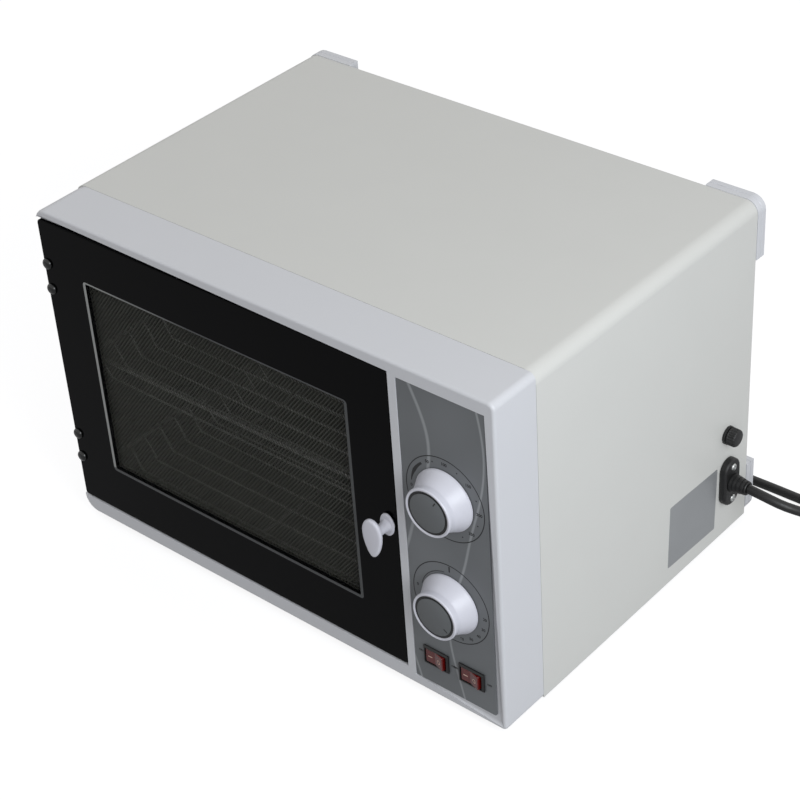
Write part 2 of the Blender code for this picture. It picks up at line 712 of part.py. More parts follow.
def make_bezel(root, plastic):
    """The front moulding: a rounded box with bays, a ledge for the chamber and open ribs."""
    radius = BEZEL_EDGE_RADIUS
    rings = []
    for i in range(ARC_STEPS + 1):
        angle = math.pi / 2 * i / ARC_STEPS
        inset = radius * (1 - math.sin(angle))
        y = radius * (1 - math.cos(angle))
        outline = rounded_outline(LEFT + inset, RIGHT - inset, BOTTOM + inset, TOP - inset,
                                  BEZEL_CORNER_RADIUS - inset)
        rings.append([(x, y, z) for x, z in outline])
    outline = rounded_outline(LEFT, RIGHT, BOTTOM, TOP, BEZEL_CORNER_RADIUS)
    rings.append([(x, BEZEL_DEPTH, z) for x, z in outline])
    bezel = add_piece("front_bezel", loft(rings), plastic, root)

    past = BEZEL_DEPTH + OVERRUN
    cut(bezel, block((LEFT - OVERRUN, -OVERRUN, DOOR_BOTTOM - DOOR_GAP),
                     (DOOR_RIGHT + DOOR_GAP, LEDGE_FRONT, DOOR_TOP + DOOR_GAP)))
    mouth_x0 = LINER_X0 - LINER_SHEET - LEDGE_CLEARANCE
    mouth_x1 = LINER_X1 + LINER_SHEET + LEDGE_CLEARANCE
    mouth_z0 = LINER_Z0 - LINER_SHEET - LEDGE_CLEARANCE
    mouth_z1 = LINER_Z1 + LINER_SHEET + LEDGE_CLEARANCE
    cut(bezel, block((mouth_x0, LEDGE_FRONT - OVERRUN, mouth_z0), (mouth_x1, past, mouth_z1)))

    cut(bezel, block((LEFT - OVERRUN, LEDGE_FRONT - OVERRUN, DOOR_BOTTOM - DOOR_GAP),
                     (FRAME_X0 + HINGE_RECESS_MARGIN, HINGE_RECESS_DEPTH, DOOR_TOP + DOOR_GAP)))

    wall = BEZEL_WALL
    floor = HINGE_RECESS_DEPTH + wall
    outer = rounded_outline(LEFT + wall, RIGHT - wall, BOTTOM + wall, TOP - wall,
                            BEZEL_CORNER_RADIUS - wall)
    inner = rounded_outline(mouth_x0 - wall, mouth_x1 + wall, mouth_z0 - wall, mouth_z1 + wall,
                            wall)
    cut(bezel, ring_y(outer, inner, floor, past))

    bay_left = DOOR_RIGHT + DOOR_GAP + wall
    bay_margin = 2 * wall
    cut(bezel, block((bay_left, PANEL_BACK, BOTTOM + bay_margin),
                     (RIGHT - wall, floor + OVERRUN, TOP - bay_margin)))
    cut(bezel, block((FASCIA_LEFT - FASCIA_EDGE_GAP, -OVERRUN, FASCIA_LOW - FASCIA_EDGE_GAP),
                     (FASCIA_RIGHT + FASCIA_EDGE_GAP, FASCIA_POCKET,
                      FASCIA_HIGH + FASCIA_EDGE_GAP)))
    cut(bezel, control_openings(PANEL_BACK))

    # The tongue swings up into this slot, so the slot reaches down to where its tip enters.
    margin = TONGUE_SLOT_MARGIN
    tip = math.hypot(TONGUE_REACH, TONGUE_HALF_WIDTH / 2)
    below = math.sqrt(tip ** 2 - (DOOR_RIGHT + DOOR_GAP - LATCH_X) ** 2)
    slot_back = tongue_front() + TONGUE_THICKNESS + margin
    cut(bezel, block((DOOR_RIGHT, PANEL_BACK, LATCH_Z - below - margin),
                     (bay_left + wall, slot_back, LATCH_Z + TONGUE_HALF_WIDTH + margin)))
    return bezel


def switch_places():
    """Middle of each rocker switch, from left to right."""
    return (FASCIA_X - SWITCH_SPACING / 2, FASCIA_X + SWITCH_SPACING / 2)


def control_openings(back):
    """Holes through the fascia and the panel behind it: two shafts and two switches."""
    mesh = bmesh.new()
    turn = Matrix.Rotation(math.radians(90), 4, "X")
    for z in (THERMOSTAT_Z, TIMER_Z):
        hole = cylinder(BUSH_RADIUS + BUSH_CLEARANCE, -back - OVERRUN, OVERRUN, SMALL_ROUND_STEPS)
        move = Matrix.Translation((FASCIA_X, 0, z))
        hole.transform(move @ turn)
        add_mesh(mesh, hole)
    half_width = SWITCH_BODY_WIDTH / 2 + GAP
    half_tall = SWITCH_BODY_TALL / 2 + GAP
    for x in switch_places():
        add_mesh(mesh, block((x - half_width, -OVERRUN, SWITCH_Z - half_tall),
                             (x + half_width, back + OVERRUN, SWITCH_Z + half_tall)))
    return mesh


def make_fascia(root, printed):
    """The printed control sheet in its pocket."""
    outline = rounded_outline(FASCIA_LEFT, FASCIA_RIGHT, FASCIA_LOW, FASCIA_HIGH,
                              GLASS_CORNER_RADIUS / 2, 2)
    fascia = add_piece("control_fascia",
                       prism_y(outline, FASCIA_FRONT, FASCIA_FRONT + FASCIA_THICKNESS),
                       printed, root)
    cut(fascia, control_openings(FASCIA_POCKET))
    return fascia


def make_shell(root, paint):
    """The wrap of sheet steel over the top and both sides."""
    radius = SHELL_CORNER_RADIUS
    inside = radius - SHELL_SHEET
    outer = [(RIGHT, BOTTOM)]
    outer += corner_arc(RIGHT - radius, TOP - radius, radius, 0, ARC_STEPS)
    outer += corner_arc(LEFT + radius, TOP - radius, radius, 90, ARC_STEPS)
    outer += [(LEFT, BOTTOM), (LEFT + SHELL_SHEET, BOTTOM)]
    outer += corner_arc(LEFT + radius, TOP - radius, inside, 90, ARC_STEPS)[::-1]
    outer += corner_arc(RIGHT - radius, TOP - radius, inside, 0, ARC_STEPS)[::-1]
    outer += [(RIGHT - SHELL_SHEET, BOTTOM)]
    shell = add_piece("cabinet_shell", prism_y(outer, BEZEL_DEPTH + GAP, REAR), paint, root)
    quarter = (0, math.radians(90), 0)
    cut(shell, cylinder(FUSE_BARREL_RADIUS + GAP, -OVERRUN, OVERRUN, ROUND_STEPS),
        (RIGHT, FUSE_Y, BOTTOM + FUSE_HEIGHT), quarter)
    cut(shell, cylinder(RELIEF_NECK_RADIUS + GAP, -OVERRUN, OVERRUN, ROUND_STEPS),
        (RIGHT, ANCHOR_Y, BOTTOM + ANCHOR_HEIGHT), quarter)
    return shell


def foot_places():
    """Where the four feet stand, with the name of each corner."""
    x = BODY_WIDTH / 2 - FOOT_INSET_SIDE
    front = FOOT_INSET_FRONT
    rear = REAR - FOOT_INSET_REAR
    return (("front_left", -x, front), ("front_right", x, front),
            ("rear_left", -x, rear), ("rear_right", x, rear))


def make_base(root, paint):
    """The base pan, a tray whose side flanges stand inside the wrap."""
    side = BODY_WIDTH / 2 - SHELL_SHEET - GAP
    sheet = PAN_SHEET
    top = BOTTOM + PAN_FLANGE
    outline = [(-side, BOTTOM), (side, BOTTOM), (side, top), (side - sheet, top),
               (side - sheet, BOTTOM + sheet), (-side + sheet, BOTTOM + sheet),
               (-side + sheet, top), (-side, top)]
    rear = REAR - BACK_SHEET - GAP
    pan = add_piece("base_pan", prism_y(outline, BEZEL_DEPTH + GAP, rear), paint, root)
    holes = bmesh.new()
    for _, x, y in foot_places():
        hole = cylinder(FOOT_STEM_RADIUS + GAP, -OVERRUN, sheet + OVERRUN, SMALL_ROUND_STEPS)
        hole.transform(Matrix.Translation((x, y, BOTTOM)))
        add_mesh(holes, hole)
    cut(pan, holes)
    return pan


def make_back(root, paint):
    """The back panel with its vent slots."""
    side = BODY_WIDTH / 2 - SHELL_SHEET - GAP
    low = BOTTOM + GAP
    high = TOP - SHELL_SHEET - GAP
    outline = [(-side, low), (side, low)]
    radius = SHELL_CORNER_RADIUS - SHELL_SHEET
    outline += corner_arc(side - radius, high - radius, radius, 0, ARC_STEPS)
    outline += corner_arc(-side + radius, high - radius, radius, 90, ARC_STEPS)
    back = add_piece("back_panel", prism_y(outline, REAR - BACK_SHEET, REAR), paint, root)
    slots = []
    for row in range(VENT_ROWS):
        z = TOP - VENT_DROP + (row - (VENT_ROWS - 1) / 2) * VENT_ROW_PITCH
        for column in range(VENT_COLUMNS):
            x = RIGHT - VENT_INSET + (column - (VENT_COLUMNS - 1) / 2) * VENT_PITCH
            slots.append(((x - VENT_WIDTH / 2, REAR - BACK_SHEET - OVERRUN, z - VENT_LENGTH / 2),
                          (x + VENT_WIDTH / 2, REAR + OVERRUN, z + VENT_LENGTH / 2)))
    cut(back, blocks(slots))
    return back


def bumper_outline(sign_x, sign_z, inset):
    """An L round one rear corner, smaller by an inset, from the middle of the body outwards."""
    middle = (TOP + BOTTOM) / 2
    x1 = BODY_WIDTH / 2 + BUMPER_PROUD - inset
    z1 = BODY_HEIGHT / 2 + BUMPER_PROUD - inset
    x0 = BODY_WIDTH / 2 + BUMPER_PROUD - BUMPER_LEG_ACROSS + inset
    z0 = BODY_HEIGHT / 2 + BUMPER_PROUD - BUMPER_LEG_UP + inset
    width = BUMPER_LEG_WIDTH - 2 * inset
    radius = BUMPER_CORNER_RADIUS - inset
    points = [(x1 - width, z0), (x1, z0)]
    points += corner_arc(x1 - radius, z1 - radius, radius, 0, ARC_STEPS)
    points += [(x0, z1), (x0, z1 - width), (x1 - width, z1 - width)]
    return [(sign_x * x, middle + sign_z * z) for x, z in points]


def make_bumper(name, sign_x, sign_z, root, plastic):
    """A moulded corner piece that keeps the back off the wall, with a groove round it."""
    front = REAR + GAP
    half = BUMPER_DEPTH / 2
    edge = BUMPER_EDGE
    groove = BUMPER_GROOVE
    stations = ((0, 0), (half - groove, 0), (half - groove, groove), (half, groove), (half, 0),
                (BUMPER_DEPTH - edge, 0), (BUMPER_DEPTH, edge))
    rings = []
    for depth, inset in stations:
        outline = bumper_outline(sign_x, sign_z, inset)
        rings.append([(x, front + depth, z) for x, z in outline])
    return add_piece(name, loft(rings), plastic, root)


def make_foot(name, x, y, root, rubber):
    """A rubber foot whose stem snaps through the base pan."""
    seat = FOOT_HEIGHT - GAP
    over = FOOT_HEIGHT + PAN_SHEET + GAP
    profile = [(0, 0), (FOOT_RADIUS, 0), (FOOT_TOP_RADIUS, seat), (FOOT_STEM_RADIUS, seat),
               (FOOT_STEM_RADIUS, over), (FOOT_HEAD_RADIUS, over),
               (FOOT_STEM_RADIUS, over + FOOT_HEAD_HEIGHT), (0, over + FOOT_HEAD_HEIGHT)]
    return add_piece(name, lathe(profile, SMALL_ROUND_STEPS), rubber, root, (x, y, 0))


def make_liner(root, steel):
    """The chamber: an open box with an outward flange that rests on the ledge of the bezel."""
    sheet = LINER_SHEET
    flange = LINER_FLANGE

    def rectangle(x0, x1, z0, z1, y):
        return [(x0, y, z0), (x1, y, z0), (x1, y, z1), (x0, y, z1)]

    inner = (LINER_X0, LINER_X1, LINER_Z0, LINER_Z1)
    outer = (LINER_X0 - sheet, LINER_X1 + sheet, LINER_Z0 - sheet, LINER_Z1 + sheet)
    brim = (outer[0] - flange, outer[1] + flange, outer[2] - flange, outer[3] + flange)
    rings = [rectangle(*inner, LINER_REAR), rectangle(*inner, LINER_FRONT),
             rectangle(*brim, LINER_FRONT), rectangle(*brim, LINER_FRONT + sheet),
             rectangle(*outer, LINER_FRONT + sheet), rectangle(*outer, LINER_REAR + sheet)]
    return add_piece("chamber_liner", loft(rings), steel, root, smooth=False)


def rim_height(floor):
    return BOTTOM + floor + BASKET_DROP


def rim_offset():
    """From the wall of the chamber to the middle of a basket's rim."""
    return GAP + RUNNER_SHEET + BASKET_SIDE_PLAY + BASKET_RIM_RADIUS


def make_runner(name, side, root, steel):
    """A side plate on the chamber wall with a ledge for each basket."""
    wall = LINER_X0 + GAP if side < 0 else LINER_X1 - GAP
    plate = wall - side * RUNNER_SHEET
    ledge = plate - side * RUNNER_LEDGE_WIDTH
    lower = rim_height(LOWER_BASKET_FLOOR) - BASKET_RIM_RADIUS - GAP
    upper = rim_height(UPPER_BASKET_FLOOR) - BASKET_RIM_RADIUS - GAP
    thick = RUNNER_LEDGE_THICKNESS
    outline = [(wall, lower - thick), (ledge, lower - thick), (ledge, lower), (plate, lower),
               (plate, upper - thick), (ledge, upper - thick), (ledge, upper), (plate, upper),
               (plate, upper + RUNNER_TOP_MARGIN), (wall, upper + RUNNER_TOP_MARGIN)]
    far = LINER_REAR - RUNNER_BACK_ROOM
    return add_piece(name, prism_y(outline, RUNNER_FRONT, far), steel, root, smooth=False)


def basket_wire(y, x0, x1, floor):
    """One bent cross wire, from rim to rim over the floor of the basket."""
    step = BASKET_TOP_STEP
    run = BASKET_SLOPE_RUN
    drop = BASKET_DROP
    soft = 2 * BASKET_WIRE_RADIUS
    left = [(x0, drop), (x0 + step, drop), (x0 + step + run - soft / 2, soft),
            (x0 + step + run + soft, 0)]
    right = [(x0 + x1 - x, z) for x, z in left[::-1]]
    points = [(x, y, BOTTOM + floor + z) for x, z in left + right]
    return tube(points, [BASKET_WIRE_RADIUS] * len(points), BASKET_WIRE_SIDES)


def make_basket(name, floor, root, steel):
    """A wire basket: a closed rim, bent cross wires and two braces under its floor."""
    x0 = LINER_X0 + rim_offset()
    x1 = LINER_X1 - rim_offset()
    first = BASKET_FIRST_WIRE
    overhang = BASKET_RIM_OVERHANG
    steps = int((LINER_REAR - BASKET_BACK_ROOM - overhang - first) / BASKET_WIRE_PITCH)
    last = first + steps * BASKET_WIRE_PITCH
    rim = rounded_outline(x0, x1, first - overhang, last + overhang, BASKET_CORNER_RADIUS, 4)
    basket = add_piece(name, closed_tube([(x, y, rim_height(floor)) for x, y in rim],
                                         BASKET_RIM_RADIUS, BASKET_WIRE_SIDES), steel, root)
    wires = bmesh.new()
    for i in range(steps + 1):
        add_mesh(wires, basket_wire(first + i * BASKET_WIRE_PITCH, x0, x1, floor))
    fuse(basket, wires)
    braces = bmesh.new()
    reach = BASKET_TOP_STEP + BASKET_SLOPE_RUN
    under = BOTTOM + floor - BASKET_WIRE_RADIUS
    for share in BASKET_BRACE_SHARES:
        x = x0 + reach + share * (x1 - x0 - 2 * reach)
        points = [(x, first - overhang / 2, under), (x, last + overhang / 2, under)]
        add_mesh(braces, tube(points, [BASKET_BRACE_RADIUS] * 2, BASKET_WIRE_SIDES))
    fuse(basket, braces)
    return basket


def make_screen(parent, metal):
    """The perforated sheet behind the window, drawn with fewer and larger holes."""
    margin = FRAME_WINDOW_MARGIN
    x0 = WINDOW_X0 - margin
    x1 = WINDOW_X1 + margin
    z0 = WINDOW_Z0 - margin
    z1 = WINDOW_Z1 + margin

    def lines(low, high, count):
        pitch = (high - low) / count
        bar = pitch * (1 - SCREEN_OPEN_SHARE) / 2
        values = []
        for i in range(count):
            values += [low + i * pitch + bar, low + (i + 1) * pitch - bar]
        return [low - SCREEN_MARGIN] + values + [high + SCREEN_MARGIN]

    xs = lines(x0, x1, SCREEN_HOLES_ACROSS)
    zs = lines(z0, z1, SCREEN_HOLES_UP)
    mesh = bmesh.new()
    grid = [[mesh.verts.new((x, FRAME_FRONT, z)) for z in zs] for x in xs]
    for i in range(len(xs) - 1):
        for j in range(len(zs) - 1):
            if i % 2 == 1 and j % 2 == 1:
                continue
            mesh.faces.new((grid[i][j], grid[i + 1][j], grid[i + 1][j + 1], grid[i][j + 1]))
    sheet = mesh.faces[:]
    grown = bmesh.ops.extrude_face_region(mesh, geom=sheet)
    for item in grown["geom"]:
        if isinstance(item, bmesh.types.BMVert):
            item.co.y += SCREEN_THICKNESS
    return add_piece("door_screen", mesh, metal, parent, door_offset(), smooth=False)


def door_offset():
    """Moves geometry given in the body's frame to the door's own axis."""
    return (-HINGE_X, -HINGE_Y, 0)


def make_glass(parent, glass):
    """The door's glass with its holes for the hinge screws and the latch."""
    rings = []
    bevel = GLASS_RECESS
    for y, inset in ((GLASS_RECESS, bevel), (GLASS_RECESS + bevel, 0), (GLASS_BACK, 0)):
        outline = rounded_outline(DOOR_LEFT + inset, DOOR_RIGHT - inset, DOOR_BOTTOM + inset,
                                  DOOR_TOP - inset, GLASS_CORNER_RADIUS)
        rings.append([(x, y, z) for x, z in outline])
    pane = add_piece("door_glass", loft(rings), glass, parent, door_offset())
    holes = bmesh.new()
    turn = Matrix.Rotation(math.radians(90), 4, "X")
    places = [(HINGE_X, z, HINGE_SCREW_RADIUS + HINGE_SCREW_CLEARANCE) for z in screw_heights()]
    places.append((LATCH_X, LATCH_Z, LATCH_SPINDLE_RADIUS + GAP))
    for x, z, radius in places:
        hole = cylinder(radius, -GLASS_BACK - OVERRUN, OVERRUN, SMALL_ROUND_STEPS)
        hole.transform(Matrix.Translation((x, 0, z)) @ turn)
        add_mesh(holes, hole)
    cut(pane, holes, door_offset())
    return pane


def hinge_heights():
    return (DOOR_TOP - UPPER_HINGE_DROP, DOOR_BOTTOM + LOWER_HINGE_RISE)


def screw_heights():
    """Heights of the four hinge screws, from the top down."""
    half = HINGE_SCREW_SPACING / 2
    upper, lower = hinge_heights()
    return (upper + half, upper - half, lower + half, lower - half)


def make_door_frame(parent, metal):
    """The pressed frame behind the glass: a face with a lip round each edge."""
    margin = FRAME_WINDOW_MARGIN
    window = (WINDOW_X0 - margin, WINDOW_X1 + margin, WINDOW_Z0 - margin, WINDOW_Z1 + margin)
    outer = rounded_outline(FRAME_X0, FRAME_X1, FRAME_Z0, FRAME_Z1, FRAME_CORNER_RADIUS)
    inner = rounded_outline(*window, FRAME_CORNER_RADIUS / 2)
    frame = add_piece("door_frame", ring_y(outer, inner, FRAME_FRONT, FRAME_BACK), metal, parent,
                      door_offset())
    lip = FRAME_LIP
    groove_outer = rounded_outline(FRAME_X0 + lip, FRAME_X1 - lip, FRAME_Z0 + lip, FRAME_Z1 - lip,
                                   FRAME_CORNER_RADIUS - lip)
    groove_inner = rounded_outline(window[0] - lip, window[1] + lip, window[2] - lip,
                                   window[3] + lip, FRAME_CORNER_RADIUS / 2 + lip)
    cut(frame, ring_y(groove_outer, groove_inner, FRAME_FRONT + FRAME_FACE, FRAME_BACK + OVERRUN),
        door_offset())
    reach = SCREEN_MARGIN + GAP
    cut(frame, block((window[0] - reach, FRAME_FRONT - OVERRUN, window[2] - reach),
                     (window[1] + reach, FRAME_FRONT + SCREEN_THICKNESS + GAP, window[3] + reach)),
        door_offset())
    return frame


def make_seal(parent, rubber):
    """The silicone seal in the groove of the door frame, with a round crown."""
    inset = SEAL_INSET
    width = SEAL_WIDTH
    floor = FRAME_FRONT + FRAME_FACE + GAP
    crown = FRAME_BACK + SEAL_PROUD
    stations = ((0, floor), (0, crown - width / 2), (width / 4, crown - width / 8),
                (width / 2, crown), (3 * width / 4, crown - width / 8),
                (width, crown - width / 2), (width, floor))
    rings = []
    for shift, y in stations:
        away = inset + shift
        outline = rounded_outline(FRAME_X0 + away, FRAME_X1 - away, FRAME_Z0 + away,
                                  FRAME_Z1 - away, FRAME_CORNER_RADIUS + width - shift, 4)
        rings.append([(x, y, z) for x, z in outline])
    return add_piece("door_seal", loft(rings, closed=True), rubber, parent, door_offset())


def make_hinge(level, z, root, door, steel, dark):
    """A block behind the glass, a bracket on the bezel and the pin through both."""
    half = HINGE_BLOCK_HEIGHT / 2
    x0 = DOOR_LEFT + HINGE_SIDE_MARGIN
    x1 = FRAME_X0 - GAP
    back = HINGE_Y + HINGE_BLOCK_BEHIND
    hinge_block = add_piece("hinge_block_" + level,
                            block((x0, FRAME_FRONT, z - half), (x1, back, z + half)), dark, door,
                            door_offset(), smooth=False)
    bore = HINGE_PIN_RADIUS + GAP
    cut(hinge_block, cylinder(bore, -half - OVERRUN, half + OVERRUN, SMALL_ROUND_STEPS), (0, 0, z))
    holes = bmesh.new()
    turn = Matrix.Rotation(math.radians(90), 4, "X")
    for shift in (-HINGE_SCREW_SPACING / 2, HINGE_SCREW_SPACING / 2):
        hole = cylinder(HINGE_SCREW_RADIUS + GAP, -FRAME_FRONT - HINGE_SCREW_REACH - GAP, 0, 12)
        hole.transform(Matrix.Translation((HINGE_X, 0, z + shift)) @ turn)
        add_mesh(holes, hole)
    cut(hinge_block, holes, door_offset())

    ear = HINGE_SHEET
    inside = half + GAP
    outside = inside + ear
    plate_front = HINGE_RECESS_DEPTH - GAP - ear
    radius = HINGE_EAR_RADIUS
    outline = [(HINGE_X + radius, plate_front + ear / 2)]
    for i in range(ARC_STEPS * 2 + 1):
        angle = -math.pi * i / (ARC_STEPS * 2)
        outline.append((HINGE_X + radius * math.cos(angle), HINGE_Y + radius * math.sin(angle)))
    outline += [(HINGE_X - HINGE_EAR_NECK, HINGE_Y + radius),
                (HINGE_X - HINGE_EAR_NECK, plate_front + ear / 2)]
    bracket = add_piece("hinge_bracket_" + level,
                        block((x0, plate_front, z - outside), (x1, plate_front + ear, z + outside)),
                        steel, root, smooth=False)
    ears = bmesh.new()
    for low, high in ((-outside, -inside), (inside, outside)):
        add_mesh(ears, prism_z(outline, z + low, z + high))
    fuse(bracket, ears)
    cut(bracket, cylinder(bore, -outside - OVERRUN, outside + OVERRUN, SMALL_ROUND_STEPS),
        (HINGE_X, HINGE_Y, z))

    head = HINGE_PIN_HEAD_HEIGHT
    end = outside + GAP
    profile = [(0, -end - head), (HINGE_PIN_HEAD_RADIUS, -end - head),
               (HINGE_PIN_HEAD_RADIUS, -end), (HINGE_PIN_RADIUS, -end), (HINGE_PIN_RADIUS, end),
               (HINGE_PIN_HEAD_RADIUS, end), (HINGE_PIN_HEAD_RADIUS, end + head), (0, end + head)]
    add_piece("hinge_pin_" + level, lathe(profile, 12), steel, root, (HINGE_X, HINGE_Y, z))


def make_hinge_screw(name, z, parent, metal):
    """A dome-headed screw through the glass into the hinge block."""
    radius = HINGE_SCREW_HEAD_RADIUS
    height = HINGE_SCREW_HEAD_HEIGHT
    seat = GAP - GLASS_RECESS
    reach = -FRAME_FRONT - HINGE_SCREW_REACH
    profile = [(0, reach), (HINGE_SCREW_RADIUS, reach), (HINGE_SCREW_RADIUS, seat)]
    for i in range(ARC_STEPS):
        angle = math.pi / 2 * i / ARC_STEPS
        profile.append((radius * math.cos(angle), seat + height * math.sin(angle)))
    profile.append((0, seat + height))
    return add_piece(name, lathe(profile, SMALL_ROUND_STEPS), metal, parent, (0, -HINGE_Y, z),
                     (math.radians(90), 0, 0))


def tongue_front():
    return GLASS_BACK + GAP + LATCH_COLLAR_THICKNESS + GAP


def teardrop(inset):
    """Outline of the latch paddle about its axis: round above, drawn to a point below."""
    steps = 4 * ARC_STEPS
    points = []
    for i in range(steps):
        angle = 2 * math.pi * i / steps
        height = math.sin(angle)
        share = (1 - height) / 2
        reach = LATCH_PADDLE_TOP if height > 0 else LATCH_PADDLE_BOTTOM
        half = LATCH_PADDLE_HALF_WIDTH * (1 - LATCH_PADDLE_TAPER_SHARE * share ** 2)
        points.append(((half - inset) * math.cos(angle), (reach - inset) * height))
    return points


def make_latch(latch, plastic, steel):
    """The turn latch: a moulded handle outside, its spindle, and the tongue inside."""
    seat = GLASS_RECESS - GAP
    base = LATCH_BASE_THICKNESS
    lift = LATCH_SEAT_THICKNESS
    top = lift + base
    neck_end = -top - LATCH_NECK_LENGTH
    thick = LATCH_PADDLE_THICKNESS
    edge = thick / 3
    steps = 4 * ARC_STEPS

    def oval(half_x, half_z, y):
        angles = [2 * math.pi * i / steps for i in range(steps)]
        return [(half_x * math.cos(a), y, half_z * math.sin(a)) for a in angles]

    # A round seat holds the oval base clear of the divider when the handle is turned.
    neck = LATCH_NECK_RADIUS
    rings = [oval(LATCH_SEAT_RADIUS, LATCH_SEAT_RADIUS, 0),
             oval(LATCH_SEAT_RADIUS, LATCH_SEAT_RADIUS, -lift),
             oval(LATCH_BASE_HALF_WIDTH, LATCH_BASE_HALF_HEIGHT, -lift),
             oval(LATCH_BASE_HALF_WIDTH, LATCH_BASE_HALF_HEIGHT, -lift - base / 2),
             oval(LATCH_BASE_HALF_WIDTH - base / 3, LATCH_BASE_HALF_HEIGHT - base / 3, -top),
             oval(neck, neck, -top - neck / 2), oval(neck, neck, neck_end + neck / 2),
             oval(neck + edge, neck + edge, neck_end)]
    for inset, y in ((edge, neck_end), (0, neck_end - edge), (0, neck_end - thick + edge),
                     (edge, neck_end - thick)):
        rings.append([(x, y, z) for x, z in teardrop(inset)])
    handle = add_piece("latch_handle", loft(rings), plastic, latch, (0, seat, 0))
    quarter = (math.radians(90), 0, 0)
    bore = LATCH_SPINDLE_RADIUS + GAP
    cut(handle, cylinder(bore, -OVERRUN, LATCH_BORE_DEPTH, SMALL_ROUND_STEPS), (0, seat, 0), quarter)

    collar = GLASS_BACK + GAP
    tongue = tongue_front()
    head = tongue + TONGUE_THICKNESS + GAP
    radius = LATCH_SPINDLE_RADIUS
    wide = LATCH_COLLAR_RADIUS
    profile = [(0, -head - LATCH_HEAD_THICKNESS), (wide, -head - LATCH_HEAD_THICKNESS),
               (wide, -head), (radius, -head), (radius, -collar - LATCH_COLLAR_THICKNESS),
               (wide, -collar - LATCH_COLLAR_THICKNESS), (wide, -collar), (radius, -collar),
               (radius, LATCH_BORE_DEPTH - seat - GAP), (0, LATCH_BORE_DEPTH - seat - GAP)]
    add_piece("latch_spindle", lathe(profile, SMALL_ROUND_STEPS), steel, latch, (0, 0, 0), quarter)

    half = TONGUE_HALF_WIDTH
    outline = [(half * math.cos(a), half * math.sin(a))
               for a in (math.pi * i / (2 * ARC_STEPS) for i in range(2 * ARC_STEPS + 1))]
    outline += [(-half, half - TONGUE_REACH), (half, half - TONGUE_REACH)]
    outline[-2] = (-half / 2, -TONGUE_REACH)
    outline[-1] = (half / 2, -TONGUE_REACH)
    plate = add_piece("latch_tongue", prism_y(outline, tongue, tongue + TONGUE_THICKNESS), steel,
                      latch, smooth=False)
    cut(plate, cylinder(bore, -head - OVERRUN, 0, SMALL_ROUND_STEPS), (0, 0, 0), quarter)


def make_knob(name, axis, white, dark):
    """A skirted control knob, hollow behind, with a disc set in its face."""
    base = KNOB_BASE_RADIUS
    rim = KNOB_RIM_RADIUS
    waist = KNOB_WAIST_RADIUS
    high = KNOB_HEIGHT
    wall = KNOB_WALL
    flare = base - waist
    recess = KNOB_CAP_RADIUS + GAP
    face = high - KNOB_CAP_THICKNESS - GAP
    roof = face - wall
    bore = SHAFT_RADIUS + GAP
    boss = KNOB_BOSS_RADIUS
    soft = KNOB_ROUNDING
    profile = [(0, roof - GAP), (bore, roof - GAP), (bore, wall), (boss, wall), (boss, roof),
               (waist - wall, roof)]
    profile += [(waist - wall + flare * out, high * up) for up, out in KNOB_INSIDE_SHARES]
    profile += [(base - wall, 0), (base, 0)]
    profile += [(waist + flare * out, high * up) for up, out in KNOB_OUTSIDE_SHARES]
    profile += [(rim, high - soft), (rim - soft / 2, high - soft / 4), (rim - soft, high),
                (recess, high), (recess, face), (0, face)]
    place = (0, FASCIA_FRONT - KNOB_LIFT, 0)
    quarter = (math.radians(90), 0, 0)
    add_piece(name, lathe(profile, FINE_ROUND_STEPS), white, axis, place, quarter)
    disc = [(0, face + GAP), (KNOB_CAP_RADIUS, face + GAP), (KNOB_CAP_RADIUS, high), (0, high)]
    add_piece(name + "_cap", lathe(disc, FINE_ROUND_STEPS), dark, axis, place, quarter)
    return roof


def d_outline(radius, flat):
    """A round shaft's section with one flat, in the plane across it."""
    limit = math.acos(flat / radius)
    count = SMALL_ROUND_STEPS
    angles = [math.pi / 2 + limit + (2 * math.pi - 2 * limit) * i / count for i in range(count + 1)]
    return [(radius * math.cos(a), radius * math.sin(a)) for a in angles]


def make_shaft(name, axis, roof, steel):
    """The D-shaped shaft between a knob and the control behind the panel."""
    front = FASCIA_FRONT - KNOB_LIFT - roof + 3 * GAP
    outline = d_outline(SHAFT_RADIUS, SHAFT_FLAT)
    return add_piece(name, prism_y(outline, front, PANEL_BACK + SHAFT_INSIDE), steel, axis)


def add_bush(body, x, z):
    """The bush in front of a control and the bore for its shaft."""
    quarter = (math.radians(90), 0, 0)
    front = PANEL_BACK + GAP
    tip = FASCIA_FRONT + GAP
    fuse(body, cylinder(BUSH_RADIUS, -front - BEZEL_WALL, -tip, SMALL_ROUND_STEPS), (x, 0, z), quarter)
    cut(body, cylinder(SHAFT_RADIUS + GAP, -PANEL_BACK - SHAFT_INSIDE - GAP, OVERRUN, SMALL_ROUND_STEPS),
        (x, 0, z), quarter)


def make_controls(root, plated, dark):
    """The thermostat's round can and the timer's square case, behind the panel."""
    front = PANEL_BACK + GAP
    quarter = (math.radians(90), 0, 0)
    z = THERMOSTAT_Z
    radius = THERMOSTAT_RADIUS
    lip = radius - THERMOSTAT_STEP
    far = front + THERMOSTAT_DEPTH
    middle = front + THERMOSTAT_DEPTH / 2
    profile = [(0, -far), (lip, -far), (lip, -middle - THERMOSTAT_STEP), (radius, -middle),
               (radius, -front), (0, -front)]
    can = add_piece("thermostat_body", lathe(profile), plated, root, (FASCIA_X, 0, z), quarter)
    add_bush(can, FASCIA_X, z)

    z = TIMER_Z
    half = TIMER_WIDTH / 2
    outline = rounded_outline(FASCIA_X - half, FASCIA_X + half, z - half, z + half, TIMER_CORNER, 3)
    case = add_piece("timer_body", prism_y(outline, front, front + TIMER_DEPTH), dark, root)
    add_bush(case, FASCIA_X, z)


